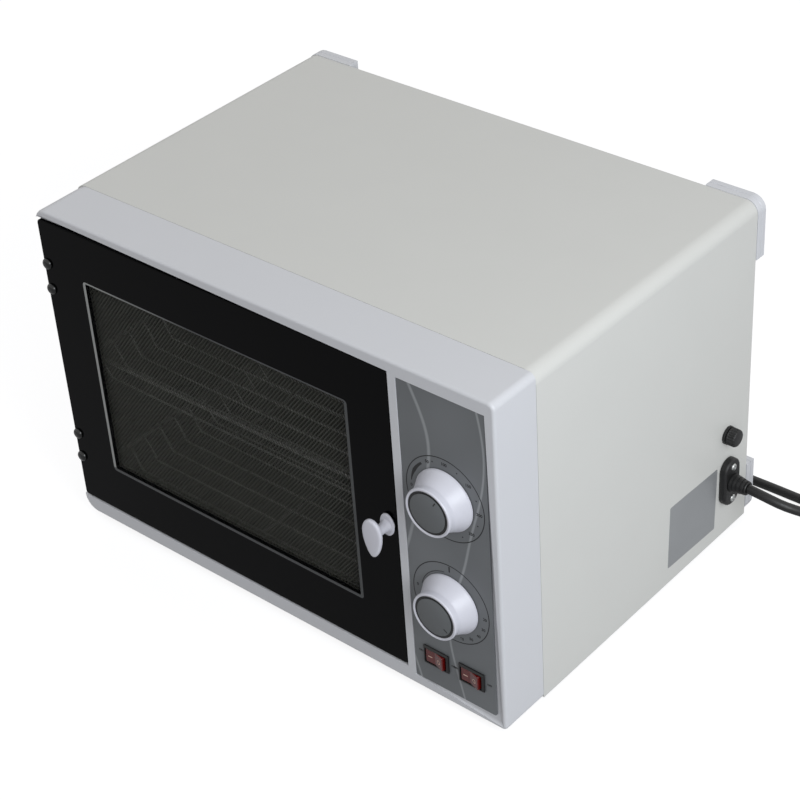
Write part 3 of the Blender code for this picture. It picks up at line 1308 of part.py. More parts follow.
def make_switch(label, x, root, dark, red):
    """A panel switch: a flanged housing and the rocker that tilts in it."""
    front = FASCIA_FRONT - GAP - SWITCH_FLANGE
    half_w = SWITCH_WIDTH / 2
    half_t = SWITCH_TALL / 2
    chamfer = SWITCH_FLANGE / 2
    rings = []
    for y, inset in ((front, chamfer), (front + chamfer, 0), (front + SWITCH_FLANGE, 0)):
        rings.append([(x - half_w + inset, y, SWITCH_Z - half_t + inset),
                      (x + half_w - inset, y, SWITCH_Z - half_t + inset),
                      (x + half_w - inset, y, SWITCH_Z + half_t - inset),
                      (x - half_w + inset, y, SWITCH_Z + half_t - inset)])
    housing = add_piece(label + "_switch_housing", loft(rings), dark, root, smooth=False)
    body_w = SWITCH_BODY_WIDTH / 2
    body_t = SWITCH_BODY_TALL / 2
    back = front + SWITCH_FLANGE + SWITCH_BODY_DEPTH
    fuse(housing, block((x - body_w, front + chamfer, SWITCH_Z - body_t),
                        (x + body_w, back, SWITCH_Z + body_t)))
    cavity_w = body_w - SWITCH_WALL
    cavity_t = ROCKER_TALL / 2 + GAP
    cut(housing, block((x - cavity_w, front - OVERRUN, SWITCH_Z - cavity_t),
                       (x + cavity_w, SWITCH_CAVITY_DEPTH, SWITCH_Z + cavity_t)))

    pivot = add_empty(label + "_rocker_axis", (x, ROCKER_PIVOT_SETBACK, SWITCH_Z), root)
    half = ROCKER_HALF_WIDTH
    outline = [(-half, -ROCKER_END_HEIGHT), (0, -ROCKER_MIDDLE_HEIGHT), (half, -ROCKER_END_HEIGHT),
               (half, ROCKER_BACK / 4), (half / 3, ROCKER_BACK), (-half / 3, ROCKER_BACK),
               (-half, ROCKER_BACK / 4)]
    add_piece(label + "_rocker", prism_z(outline, -ROCKER_TALL / 2, ROCKER_TALL / 2), red, pivot,
              (0, 0, 0), (0, 0, ROCKER_REST_TILT), smooth=False)


def make_fuse(root, black):
    """The fuse holder through the right side, and its ribbed cap."""
    z = BOTTOM + FUSE_HEIGHT
    quarter = (0, math.radians(90), 0)
    barrel = FUSE_BARREL_RADIUS
    nut = FUSE_NUT_RADIUS
    under = -SHELL_SHEET - GAP
    flange = GAP + FUSE_FLANGE_THICKNESS
    profile = [(0, -FUSE_BARREL_LENGTH), (barrel, -FUSE_BARREL_LENGTH),
               (barrel, under - FUSE_NUT_THICKNESS), (nut, under - FUSE_NUT_THICKNESS),
               (nut, under), (barrel, under), (barrel, GAP), (FUSE_FLANGE_RADIUS, GAP),
               (FUSE_FLANGE_RADIUS, flange), (FUSE_BORE_RADIUS, flange),
               (FUSE_BORE_RADIUS, -FUSE_BORE_LENGTH), (0, -FUSE_BORE_LENGTH)]
    add_piece("fuse_holder", lathe(profile, SMALL_ROUND_STEPS), black, root, (RIGHT, FUSE_Y, z), quarter)

    axis = add_empty("fuse_cap_axis", (RIGHT, FUSE_Y, z), root)
    stem = FUSE_BORE_RADIUS - GAP
    seat = flange + GAP
    top = seat + FUSE_CAP_HEIGHT
    count = 2 * FUSE_RIBS

    def ring(radius, height, ribbed=0.0):
        angles = [2 * math.pi * i / count for i in range(count)]
        sizes = [radius - ribbed * (i % 2) for i in range(count)]
        return [(r * math.cos(a), r * math.sin(a), height) for r, a in zip(sizes, angles)]

    deep = FUSE_RIB_DEPTH
    radius = FUSE_CAP_RADIUS
    rings = [ring(stem, seat - FUSE_STEM_LENGTH), ring(stem, seat), ring(radius - deep, seat),
             ring(radius, seat + deep), ring(radius, seat + 2 * deep, deep),
             ring(radius, top - 3 * deep, deep), ring(radius - 2 * deep, top)]
    cap = add_piece("fuse_cap", loft(rings), black, axis, (0, 0, 0), quarter)
    wide = FUSE_SLOT_WIDTH / 2
    cut(cap, block((top - FUSE_SLOT_DEPTH, -radius - OVERRUN, -wide),
                   (top + OVERRUN, radius + OVERRUN, wide)))


def make_anchor(root, black):
    """The screwed block that holds the cord, and the ribbed strain relief in it."""
    z = BOTTOM + ANCHOR_HEIGHT
    half_w = ANCHOR_WIDTH / 2
    half_t = ANCHOR_TALL / 2
    front = RIGHT + GAP
    edge = ANCHOR_THICKNESS / 5
    rings = []
    for x, inset in ((front, 0), (front + ANCHOR_THICKNESS - edge, 0),
                     (front + ANCHOR_THICKNESS, edge)):
        outline = rounded_outline(-half_w + inset, half_w - inset, -half_t + inset, half_t - inset,
                                  half_w - GAP - inset, ANCHOR_STEPS)
        rings.append([(x, ANCHOR_Y + y, z + up) for y, up in outline])
    anchor = add_piece("cord_anchor", loft(rings), black, root)
    quarter = Matrix.Rotation(math.radians(90), 4, "Y")
    holes = bmesh.new()
    reach = GAP + ANCHOR_THICKNESS + OVERRUN
    spots = ((0, RELIEF_NECK_RADIUS + GAP), (ANCHOR_SCREW_SPACING / 2, ANCHOR_SCREW_HOLE),
             (-ANCHOR_SCREW_SPACING / 2, ANCHOR_SCREW_HOLE))
    for shift, radius in spots:
        hole = cylinder(radius, -OVERRUN, reach, SMALL_ROUND_STEPS)
        hole.transform(Matrix.Translation((RIGHT, ANCHOR_Y, z + shift)) @ quarter)
        add_mesh(holes, hole)
    cut(anchor, holes)

    start = 2 * GAP + ANCHOR_THICKNESS
    under = -SHELL_SHEET - GAP
    neck = RELIEF_NECK_RADIUS
    profile = [(0, -RELIEF_INSIDE), (RELIEF_COLLAR_RADIUS, -RELIEF_INSIDE),
               (RELIEF_COLLAR_RADIUS, under), (neck, under), (neck, start)]
    bay = RELIEF_LENGTH / (RELIEF_RINGS + 1)
    fall = (RELIEF_ROOT_RADIUS - RELIEF_TIP_RADIUS) / RELIEF_LENGTH
    land, edge, root_end = [share * bay for share in RELIEF_RING_SHARES]
    for i in range(RELIEF_RINGS):
        low = start + i * bay
        radius = RELIEF_ROOT_RADIUS - fall * i * bay
        narrow = radius - fall * bay
        profile += [(radius, low), (narrow, low + land), (narrow - RELIEF_RING_DEPTH, low + edge),
                    (narrow - RELIEF_RING_DEPTH, low + root_end)]
    tip = start + RELIEF_LENGTH
    soft = bay - root_end
    profile += [(RELIEF_TIP_RADIUS + fall * bay, tip - bay + soft), (RELIEF_TIP_RADIUS, tip - 2 * soft),
                (RELIEF_TIP_RADIUS - 2 * soft, tip), (0, tip)]
    add_piece("strain_relief", lathe(profile, SMALL_ROUND_STEPS), black, root, (RIGHT, ANCHOR_Y, z),
              (0, math.radians(90), 0))


def make_lamp(root, glass, ceramic):
    """The ultraviolet tube along the ceiling and a holder at each end."""
    middle = (LINER_X0 + LINER_X1) / 2
    z = LINER_Z1 - LAMP_DROP
    y = LINER_FRONT + LAMP_SETBACK
    half = middle - LINER_X0 - LAMP_END_ROOM
    cap = LAMP_CAP_LENGTH
    pin = HEATER_PIN_RADIUS
    profile = [(0, -half), (pin, -half), (pin, -half + cap / 4), (LAMP_CAP_RADIUS, -half + cap / 4),
               (LAMP_CAP_RADIUS, -half + cap), (LAMP_RADIUS, -half + cap)]
    profile += [(radius, -height) for radius, height in profile[::-1]]
    add_piece("uv_lamp", lathe(profile, SMALL_ROUND_STEPS), glass, root, (middle, y, z),
              (0, math.radians(90), 0))
    socket = LAMP_CAP_RADIUS + GAP
    wide = HOLDER_HALF_WIDTH
    for name, side in (("left", -1), ("right", 1)):
        face = middle + side * (half - cap / 4 + HOLDER_SOCKET_DEPTH - 2 * HOLDER_SOCKET_DEPTH)
        far = face + side * HOLDER_THICKNESS
        outline = [(y - wide, LINER_Z1 - GAP)]
        outline += [(y + wide * math.cos(a), z + wide * math.sin(a))
                    for a in (math.pi + math.pi * i / 10 for i in range(11))]
        outline.append((y + wide, LINER_Z1 - GAP))
        holder = add_piece("lamp_holder_" + name, prism_x(outline, min(face, far), max(face, far)),
                           ceramic, root)
        depth = HOLDER_SOCKET_DEPTH + GAP
        inner = face + side * depth
        bore = cylinder(socket, min(inner - middle, side * OVERRUN) if side < 0 else OVERRUN,
                        -OVERRUN if side < 0 else inner - middle, SMALL_ROUND_STEPS)
        cut(holder, bore, (middle, y, z), (0, math.radians(90), 0))
        pin_hole = cylinder(pin + GAP, side * OVERRUN if side > 0 else -half - GAP,
                            half + GAP if side > 0 else -OVERRUN, SMALL_ROUND_STEPS)
        cut(holder, pin_hole, (middle, y, z), (0, math.radians(90), 0))


def make_heater(root, steel):
    """The sheathed element under the chamber, with a cold pin at each end."""
    z = LINER_Z0 - LINER_SHEET - GAP - HEATER_RADIUS
    x0 = LINER_X0 + HEATER_MARGIN
    x1 = LINER_X1 + LINER_SHEET + LINER_FLANGE
    y0 = HEATER_FRONT
    y1 = LINER_REAR - HEATER_BACK_ROOM
    radius = (y1 - y0) / 2
    points = [(x1 + HEATER_PIN_LENGTH, y0), (x1, y0), (x1 - HEATER_RADIUS / 4, y0)]
    steps = 10
    for i in range(steps + 1):
        angle = -math.pi / 2 - math.pi * i / steps
        points.append((x0 + radius + radius * math.cos(angle),
                       (y0 + y1) / 2 + radius * math.sin(angle)))
    points += [(x1 - HEATER_RADIUS / 4, y1), (x1, y1), (x1 + HEATER_PIN_LENGTH, y1)]
    radii = [HEATER_PIN_RADIUS] * 2 + [HEATER_RADIUS] * (steps + 3) + [HEATER_PIN_RADIUS] * 2
    add_piece("heater_element", tube([(x, y, z) for x, y in points], radii, HEATER_SIDES), steel,
              root)


def make_ballast(root, plated):
    """The choke of the lamp: a laminated block on a folded foot."""
    z = BOTTOM + PAN_SHEET + GAP
    half = BALLAST_WIDTH / 2
    top = z + BALLAST_HEIGHT
    foot = BALLAST_FOOT
    chamfer = BALLAST_CHAMFER
    reach = BALLAST_FOOT_REACH
    y0 = BALLAST_FRONT
    y1 = REAR - BALLAST_BACK_ROOM
    outline = [(y0 - reach, z), (y1 + reach, z), (y1 + reach, z + foot), (y1, z + foot),
               (y1, top - chamfer), (y1 - chamfer, top), (y0 + chamfer, top), (y0, top - chamfer),
               (y0, z + foot), (y0 - reach, z + foot)]
    x = FASCIA_X
    add_piece("lamp_ballast", prism_x(outline, x - half, x + half), plated, root, smooth=False)


def make_cord(root, rubber):
    """The cord's free stretch, its coil behind the cabinet, and the plug beside the coil."""
    route = [tuple(Vector(point) + CORD_START) for point in CORD_ROUTE]
    stretch = smooth_curve(route, CORD_POINT_SPACING)
    add_cord("mains_cord", [tuple(point) for point in stretch], 2, rubber, root)
    coil = coil_points()
    start = coil[0] - Vector((GAP, 0, 0))
    coil[0] = start
    add_cord("cord_coil", [tuple(point) for point in coil], 1, rubber, root)
    lengths = [sum((Vector(b) - Vector(a)).length for a, b in zip(line, line[1:]))
               for line in (stretch, coil)]
    print("cord length in metres: free %.4f, coil %.4f, in all %.4f"
          % (lengths[0], lengths[1], sum(lengths)))
    print("least gap of the coil to itself in metres: %.5f" % self_gap(coil, CORD_RADIUS))

    end = coil[-1]
    radius = PLUG_RADIUS
    taper = PLUG_RELIEF_LENGTH
    body = PLUG_BODY_LENGTH
    edge = PLUG_EDGE
    profile = [(0, 0), (PLUG_NECK_RADIUS, 0), (PLUG_WAIST_RADIUS, taper * PLUG_WAIST_SHARE),
               (PLUG_SHOULDER_RADIUS, taper), (radius, taper + PLUG_SHOULDER_LENGTH),
               (radius, taper + body - edge), (radius - edge, taper + body), (0, taper + body)]
    plug = add_piece("mains_plug", lathe(profile), rubber, root,
                     (end.x - GAP, end.y, end.z), (0, math.radians(-90), 0))
    pins = bmesh.new()
    for side in (-1, 1):
        low = taper + body - PLUG_PIN_ROOT
        high = taper + body + PLUG_PIN_LENGTH
        pin = lathe([(0, low), (PLUG_PIN_RADIUS, low), (PLUG_PIN_RADIUS, high - PLUG_PIN_RADIUS),
                     (PLUG_PIN_RADIUS / 2, high), (0, high)], 12)
        pin.transform(Matrix.Translation((0, side * PLUG_PIN_SPACING / 2, 0)))
        add_mesh(pins, pin)
    fuse(plug, pins, (end.x - GAP, end.y, end.z), (0, math.radians(-90), 0))


def build():
    """Make every piece under one parent."""
    clear_scene()
    white_abs = finish_of("white_abs", (0.80, 0.80, 0.80), 0.35)
    cream_paint = finish_of("cream_enamel", (0.76, 0.76, 0.73), 0.40)
    black_glass = finish_of("black_glass", (0.012, 0.012, 0.012), 0.05)
    black_paint = finish_of("black_enamel", (0.03, 0.03, 0.03), 0.45)
    dark_metal = finish_of("perforated_steel", (0.10, 0.10, 0.09), 0.40, 0.8)
    silicone = finish_of("grey_silicone", (0.20, 0.20, 0.20), 0.60)
    stainless = finish_of("stainless_steel", (0.60, 0.60, 0.60), 0.28, 1.0)
    zinc = finish_of("zinc_plate", (0.62, 0.62, 0.60), 0.35, 1.0)
    chrome = finish_of("chrome_wire", (0.75, 0.75, 0.75), 0.12, 1.0)
    grey_print = finish_of("grey_print", (0.14, 0.15, 0.15), 0.35)
    knob_white = finish_of("knob_white", (0.84, 0.84, 0.84), 0.25)
    knob_grey = finish_of("knob_disc_grey", (0.16, 0.17, 0.17), 0.40)
    black_plastic = finish_of("black_plastic", (0.015, 0.015, 0.015), 0.35)
    red_lens = finish_of("red_lens", (0.35, 0.02, 0.015), 0.20)
    rubber = finish_of("black_rubber", (0.02, 0.02, 0.02), 0.60)
    cord_pvc = finish_of("black_pvc", (0.015, 0.015, 0.015), 0.50)
    lamp_glass = finish_of("quartz_glass", (0.85, 0.88, 0.92), 0.08)
    ceramic = finish_of("white_ceramic", (0.82, 0.80, 0.76), 0.45)

    root = add_empty("sterilizer", (-ORIGIN_X, -ORIGIN_Y, 0), None)
    door = add_empty("door_hinge_axis", (HINGE_X, HINGE_Y, 0), root)
    latch = add_empty("latch_axis", (LATCH_X - HINGE_X, -HINGE_Y, LATCH_Z), door)

    make_bezel(root, white_abs)
    make_fascia(root, grey_print)
    make_shell(root, cream_paint)
    make_base(root, cream_paint)
    make_back(root, cream_paint)
    for name, sign_x, sign_z in (("top_left", -1, 1), ("top_right", 1, 1),
                                 ("bottom_left", -1, -1), ("bottom_right", 1, -1)):
        make_bumper("rear_bumper_" + name, sign_x, sign_z, root, white_abs)
    for name, x, y in foot_places():
        make_foot("foot_" + name, x, y, root, rubber)

    make_liner(root, stainless)
    make_runner("rack_runner_left", -1, root, stainless)
    make_runner("rack_runner_right", 1, root, stainless)
    for name, floor in (("upper", UPPER_BASKET_FLOOR), ("lower", LOWER_BASKET_FLOOR)):
        slide = add_empty(name + "_basket_slide", (0, 0, 0), root)
        make_basket(name + "_basket", floor, slide, chrome)
    make_lamp(root, lamp_glass, ceramic)
    make_heater(root, stainless)
    make_ballast(root, zinc)

    make_glass(door, black_glass)
    make_screen(door, dark_metal)
    make_door_frame(door, black_paint)
    make_seal(door, silicone)
    for level, z in zip(("upper", "lower"), hinge_heights()):
        make_hinge(level, z, root, door, zinc, black_plastic)
    names = ("upper_top", "upper_bottom", "lower_top", "lower_bottom")
    for name, z in zip(names, screw_heights()):
        make_hinge_screw("hinge_screw_" + name, z, door, chrome)
    make_latch(latch, knob_white, zinc)

    make_controls(root, zinc, black_plastic)
    for label, z in (("thermostat", THERMOSTAT_Z), ("timer", TIMER_Z)):
        axis = add_empty(label + "_axis", (FASCIA_X, 0, z), root)
        roof = make_knob(label + "_knob", axis, knob_white, knob_grey)
        make_shaft(label + "_shaft", axis, roof, zinc)
    for label, x in zip(("heater", "lamp"), switch_places()):
        make_switch(label, x, root, black_plastic, red_lens)

    make_fuse(root, black_plastic)
    make_anchor(root, black_plastic)
    make_cord(root, cord_pvc)


build()
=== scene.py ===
import math

import bmesh
import bpy
import numpy as np
from mathutils import Matrix, Vector


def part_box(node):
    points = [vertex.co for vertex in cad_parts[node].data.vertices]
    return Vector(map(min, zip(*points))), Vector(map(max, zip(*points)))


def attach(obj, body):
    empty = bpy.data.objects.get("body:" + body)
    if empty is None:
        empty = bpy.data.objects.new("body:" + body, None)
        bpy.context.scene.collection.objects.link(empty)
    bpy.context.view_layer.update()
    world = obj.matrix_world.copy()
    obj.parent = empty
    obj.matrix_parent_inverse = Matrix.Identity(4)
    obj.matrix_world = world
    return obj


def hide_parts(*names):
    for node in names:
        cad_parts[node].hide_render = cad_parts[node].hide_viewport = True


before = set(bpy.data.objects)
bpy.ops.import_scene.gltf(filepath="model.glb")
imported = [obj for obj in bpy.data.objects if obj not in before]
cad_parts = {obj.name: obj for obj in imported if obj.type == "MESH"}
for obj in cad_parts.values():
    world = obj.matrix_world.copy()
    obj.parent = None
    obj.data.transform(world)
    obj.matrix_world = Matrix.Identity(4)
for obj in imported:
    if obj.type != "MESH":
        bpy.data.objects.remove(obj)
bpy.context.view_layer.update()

# Camera: a long lens above the right front corner, turned a little to the side, as in the
# photograph. The lens is given by its focal length in pixels of an 800 pixel frame.
FOCAL_PIXELS = 2102.4
FRAME_PIXELS = 800
SENSOR_MM = 36.0
EYE = Vector((0.8183, -0.8960, 0.9727))
azimuth, elevation, roll = [math.radians(angle) for angle in (42.65, 35.34, -4.09)]
look = Vector((-math.sin(azimuth) * math.cos(elevation),
               math.cos(azimuth) * math.cos(elevation), -math.sin(elevation)))
level = Vector((math.cos(azimuth), math.sin(azimuth), 0))
above = level.cross(look)
side = math.cos(roll) * level + math.sin(roll) * above
over = math.cos(roll) * above - math.sin(roll) * level


def put(name, data):
    """A new object in the scene."""
    thing = bpy.data.objects.new(name, data)
    bpy.context.scene.collection.objects.link(thing)
    return thing


lens = bpy.data.cameras.new("camera")
lens.sensor_width = SENSOR_MM
lens.lens = FOCAL_PIXELS / FRAME_PIXELS * SENSOR_MM
lens.clip_start = 0.01
camera = put("camera", lens)
camera.matrix_world = Matrix.Translation(EYE) @ Matrix((side, over, -look)).transposed().to_4x4()
bpy.context.scene.camera = camera
bpy.context.scene.view_settings.view_transform = "Standard"

# Mains cord: round three-core lead in a black PVC sheath, extruded, so it is smooth with a soft
# gloss. It leaves the strain relief, drops to the bench behind the cabinet and is stored there
# as a two-layer coil that ends in a moulded plug with two round pins.
CORD_DIAMETER = 0.0070
CORD_START = Vector((0.2099, 0.1186, 0.0533))
CORD_ROUTE = (
    (0.0000, 0.0000, 0.0000),
    (0.0140, 0.0000, -0.0010),
    (0.0258, 0.0029, -0.0044),
    (0.0360, 0.0110, -0.0105),
    (0.0430, 0.0220, -0.0188),
    (0.0455, 0.0350, -0.0285),
    (0.0430, 0.0475, -0.0372),
    (0.0355, 0.0580, -0.0440),
    (0.0250, 0.0645, -0.0480),
    (0.0130, 0.0668, -0.0496),
    (0.0000, 0.0670, -0.0500),
    (-0.0150, 0.0668, -0.0500),
    (-0.0400, 0.0660, -0.0500),
    (-0.0650, 0.0655, -0.0500),
    (-0.0900, 0.0658, -0.0500),
    (-0.1150, 0.0664, -0.0500),
    (-0.1400, 0.0668, -0.0500),
    (-0.1620, 0.0670, -0.0500),
    (-0.1780, 0.0670, -0.0500),
)
ROUTE_SPACING = 0.006
COIL_RADIUS = 0.0464
COIL_PITCH = 0.0077
COIL_DIP_SHARE = 0.25
COIL_TURNS_PER_LAYER = 2.25
HALF_TURN = 0.5
COIL_LEAD_IN = 0.0070
COIL_LEAD_OUT = 0.0280
COIL_POINTS_PER_TURN = 48
CORD_SIDES = 20
PLUG_RADIUS = 0.0182
SEAT_GAP = 0.0003


def linear(colour):
    """The linear colour of an sRGB hex value."""
    parts = [int(colour[i:i + 2], 16) / 255 for i in (1, 3, 5)]
    return tuple(p / 12.92 if p <= 0.04045 else ((p + 0.055) / 1.055) ** 2.4 for p in parts)


def add_node(tree, kind, links=None, **settings):
    """Add a node, set its options, and set or link its inputs by name or number."""
    node = tree.nodes.new(kind)
    for name, value in settings.items():
        setattr(node, name, value)
    for name, value in (links or {}).items():
        if isinstance(value, bpy.types.NodeSocket):
            tree.links.new(value, node.inputs[name])
        else:
            node.inputs[name].default_value = value
    return node


def finish_of(name, colour, roughness, metallic=0.0, **sockets):
    """A Principled material with one colour. Its name is the real material's."""
    material = bpy.data.materials.new(name)
    material.use_nodes = True
    shader = material.node_tree.nodes["Principled BSDF"]
    shader.inputs["Base Color"].default_value = (*linear(colour), 1.0)
    shader.inputs["Roughness"].default_value = roughness
    shader.inputs["Metallic"].default_value = metallic
    for socket, value in sockets.items():
        shader.inputs[socket.replace("_", " ")].default_value = value
    return material


CLOUDING_MM = 45.0
TINT_SPAN = (0.6, 1.4)
GLOSS_SPAN = (0.3, 0.7)


def grain(material, size_mm, depth_mm, tint=0.0, gloss=0.0, stretch=(1, 1, 1), detail=3.0):
    """Add an uneven surface: bumps of a real size, and a tint and gloss that follow them."""
    tree = material.node_tree
    shader = tree.nodes["Principled BSDF"]
    place = add_node(tree, "ShaderNodeTexCoord").outputs["Object"]
    scaled = add_node(tree, "ShaderNodeMapping", {"Vector": place, "Scale": stretch})
    noise = add_node(tree, "ShaderNodeTexNoise", {"Vector": scaled.outputs[0],
                                                 "Scale": 1000 / size_mm, "Detail": detail})
    if depth_mm:
        bump = add_node(tree, "ShaderNodeBump", {"Height": noise.outputs["Fac"],
                                                "Distance": depth_mm / 1000, "Strength": 1.0})
        tree.links.new(bump.outputs[0], shader.inputs["Normal"])
    colour = shader.inputs["Base Color"].default_value[:3]
    if tint:
        broad = add_node(tree, "ShaderNodeTexNoise", {"Vector": place, "Detail": 2.0,
                                                     "Scale": 1000 / CLOUDING_MM})
        fine = add_node(tree, "ShaderNodeMath", {0: noise.outputs["Fac"], 1: broad.outputs["Fac"]},
                        operation="ADD")
        ramp = add_node(tree, "ShaderNodeMapRange", {
            "Value": fine.outputs[0], "From Min": TINT_SPAN[0], "From Max": TINT_SPAN[1],
            "To Min": 0.0, "To Max": 1.0})
        mix = add_node(tree, "ShaderNodeMix", {
            "Factor": ramp.outputs[0], "A": (*[c * (1 - tint) for c in colour], 1.0),
            "B": (*[min(1.0, c * (1 + tint)) for c in colour], 1.0)}, data_type="RGBA")
        tree.links.new(mix.outputs["Result"], shader.inputs["Base Color"])
    if gloss:
        rough = shader.inputs["Roughness"].default_value
        shine = add_node(tree, "ShaderNodeMapRange", {
            "Value": noise.outputs["Fac"], "From Min": GLOSS_SPAN[0], "From Max": GLOSS_SPAN[1],
            "To Min": rough * (1 - gloss), "To Max": min(1.0, rough * (1 + gloss))})
        tree.links.new(shine.outputs[0], shader.inputs["Roughness"])
    return material


def settle(piece, body, nodes, angle):
    """Smooth a piece up to an angle, and say what it rides on and which nodes it stands for."""
    piece.data.shade_smooth()
    piece.data.set_sharp_from_angle(angle=math.radians(angle))
    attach(piece, body)
    if nodes:
        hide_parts(*nodes)
    return piece


def keep(name, mesh, material, body, nodes=(), angle=38.0):
    """Store a finished bmesh as a piece on its body, standing for the CAD nodes it replaces."""
    data = bpy.data.meshes.new(name)
    bmesh.ops.recalc_face_normals(mesh, faces=mesh.faces)
    mesh.to_mesh(data)
    mesh.free()
    data.materials.append(material)
    return settle(put(name, data), body, nodes, angle)


def smooth_route(points, spacing):
    """Points at equal steps along a natural cubic spline through the given ones."""
    route = np.array(points)
    chord = np.concatenate([[0], np.cumsum(np.linalg.norm(np.diff(route, axis=0), axis=1))])
    step = np.diff(chord)
    count = len(route)
    matrix = np.eye(count)
    target = np.zeros((count, 3))
    for i in range(1, count - 1):
        matrix[i, i - 1:i + 2] = step[i - 1], 2 * (step[i - 1] + step[i]), step[i]
        slope = (route[i + 1] - route[i]) / step[i] - (route[i] - route[i - 1]) / step[i - 1]
        target[i] = 6 * slope
    bend = np.linalg.solve(matrix, target)
    result = []
    for value in np.linspace(0, chord[-1], round(chord[-1] / spacing) + 1):
        i = min(int(np.searchsorted(chord, value, side="right")) - 1, count - 2)
        a, b, h = chord[i + 1] - value, value - chord[i], step[i]
        result.append((bend[i] * a ** 3 + bend[i + 1] * b ** 3) / (6 * h)
                      + (route[i] / h - bend[i] * h / 6) * a
                      + (route[i + 1] / h - bend[i + 1] * h / 6) * b)
    return [Vector(point) for point in result]


def coil_route():
    """In along the bench, up a layer in the half turn where the spiral reverses, and out on top."""
    radius = CORD_DIAMETER / 2
    pitch, layer = COIL_PITCH, COIL_TURNS_PER_LAYER
    total = 2 * layer + HALF_TURN
    start = Vector(CORD_ROUTE[-1]) + CORD_START - Vector((SEAT_GAP, 0, 0))
    centre = Vector((start.x - COIL_LEAD_IN, start.y + COIL_RADIUS, 0))
    inner = COIL_RADIUS - pitch * layer
    points = [start]
    for i in range(int(total * COIL_POINTS_PER_TURN) + 1):
        turn = i / COIL_POINTS_PER_TURN
        reach, height = COIL_RADIUS - pitch * turn, radius
        if turn > layer + HALF_TURN:
            reach, height = inner + pitch * (turn - layer - HALF_TURN), radius + pitch
        elif turn > layer:
            climb = (turn - layer) / HALF_TURN
            reach = inner - COIL_DIP_SHARE * pitch * math.sin(2 * math.pi * (turn - layer))
            height = radius + pitch * climb * climb * (3 - 2 * climb)
        if turn > total - HALF_TURN:
            lift = (turn - total + HALF_TURN) / HALF_TURN
            height += (PLUG_RADIUS + SEAT_GAP - height) * lift * lift * (3 - 2 * lift)
        angle = -math.pi / 2 - 2 * math.pi * turn
        points.append(centre + Vector((reach * math.cos(angle), reach * math.sin(angle), height)))
    last = points[-1]
    points.append(last - Vector((COIL_LEAD_OUT / 2, 0, 0)))
    points.append(last - Vector((COIL_LEAD_OUT, 0, 0)))
    points[0] = start - Vector((SEAT_GAP, 0, 0))
    return points


def bridged(mesh, lower, upper):
    """Faces between two closed rows of equally many vertices."""
    for j in range(len(lower)):
        k = (j + 1) % len(lower)
        mesh.faces.new((lower[j], lower[k], upper[k], upper[j]))


def round_tube(mesh, points, radius, sides):
    """Add a round tube along points to a bmesh. Its rings turn as little as they can."""
    rings = []
    normal = None
    for i, point in enumerate(points):
        ahead = (points[min(i + 1, len(points) - 1)] - points[max(i - 1, 0)]).normalized()
        if normal is None:
            normal = ahead.orthogonal().normalized()
        normal = (normal - ahead * normal.dot(ahead)).normalized()
        across = ahead.cross(normal)
        rings.append([mesh.verts.new(point + radius * (math.cos(a) * normal + math.sin(a) * across))
                      for a in (2 * math.pi * j / sides for j in range(sides))])
    for lower, upper in zip(rings, rings[1:]):
        bridged(mesh, lower, upper)
    mesh.faces.new(rings[0][::-1])
    mesh.faces.new(rings[-1])
    return mesh


def turned(mesh, profile, place, steps=48, ribs=0, rib_depth=0.0):
    """Add a turned shape to a bmesh. A profile point is (radius, distance along local z), or
    has a third value, the share of the rib depth that is cut in there."""
    rows = []
    for point in profile:
        radius, height = point[:2]
        share = point[2] if len(point) > 2 else 0.0
        if radius == 0:
            rows.append([mesh.verts.new(place @ Vector((0, 0, height)))])
            continue
        row = []
        for i in range(steps):
            a = 2 * math.pi * i / steps
            wave = 0.5 - 0.5 * math.cos(ribs * a) if ribs else 0.0
            reach = radius - rib_depth * share * wave
            row.append(mesh.verts.new(place @ Vector((reach * math.cos(a), reach * math.sin(a),
                                                      height))))
        rows.append(row)
    for lower, upper in zip(rows, rows[1:]):
        if len(lower) > 1 and len(upper) > 1:
            bridged(mesh, lower, upper)
            continue
        for j in range(steps):
            k = (j + 1) % steps
            if len(lower) == 1:
                mesh.faces.new((lower[0], upper[k], upper[j]))
            else:
                mesh.faces.new((lower[j], lower[k], upper[0]))
    return mesh


# Plasticised PVC: soft, near black, with a broad gloss and a faint waviness from extrusion.
black_pvc = grain(finish_of("pvc_black_extruded", "#0C0C0D", 0.46), 2.0, 0.03, tint=0.15, gloss=0.15)
# The same PVC moulded: the mould leaves it finer and a little duller.
moulded_pvc = grain(finish_of("pvc_black_moulded", "#0B0B0C", 0.50), 0.6, 0.015, gloss=0.2)

free_route = smooth_route([Vector(point) + CORD_START for point in CORD_ROUTE], ROUTE_SPACING)
wound_route = coil_route()
cord_points = free_route + wound_route[1:]
mains_cord = keep("mains_cord_sheath",
                  round_tube(bmesh.new(), cord_points, CORD_DIAMETER / 2, CORD_SIDES),
                  black_pvc, "cabinet", ("mains_cord", "cord_coil"), 60)

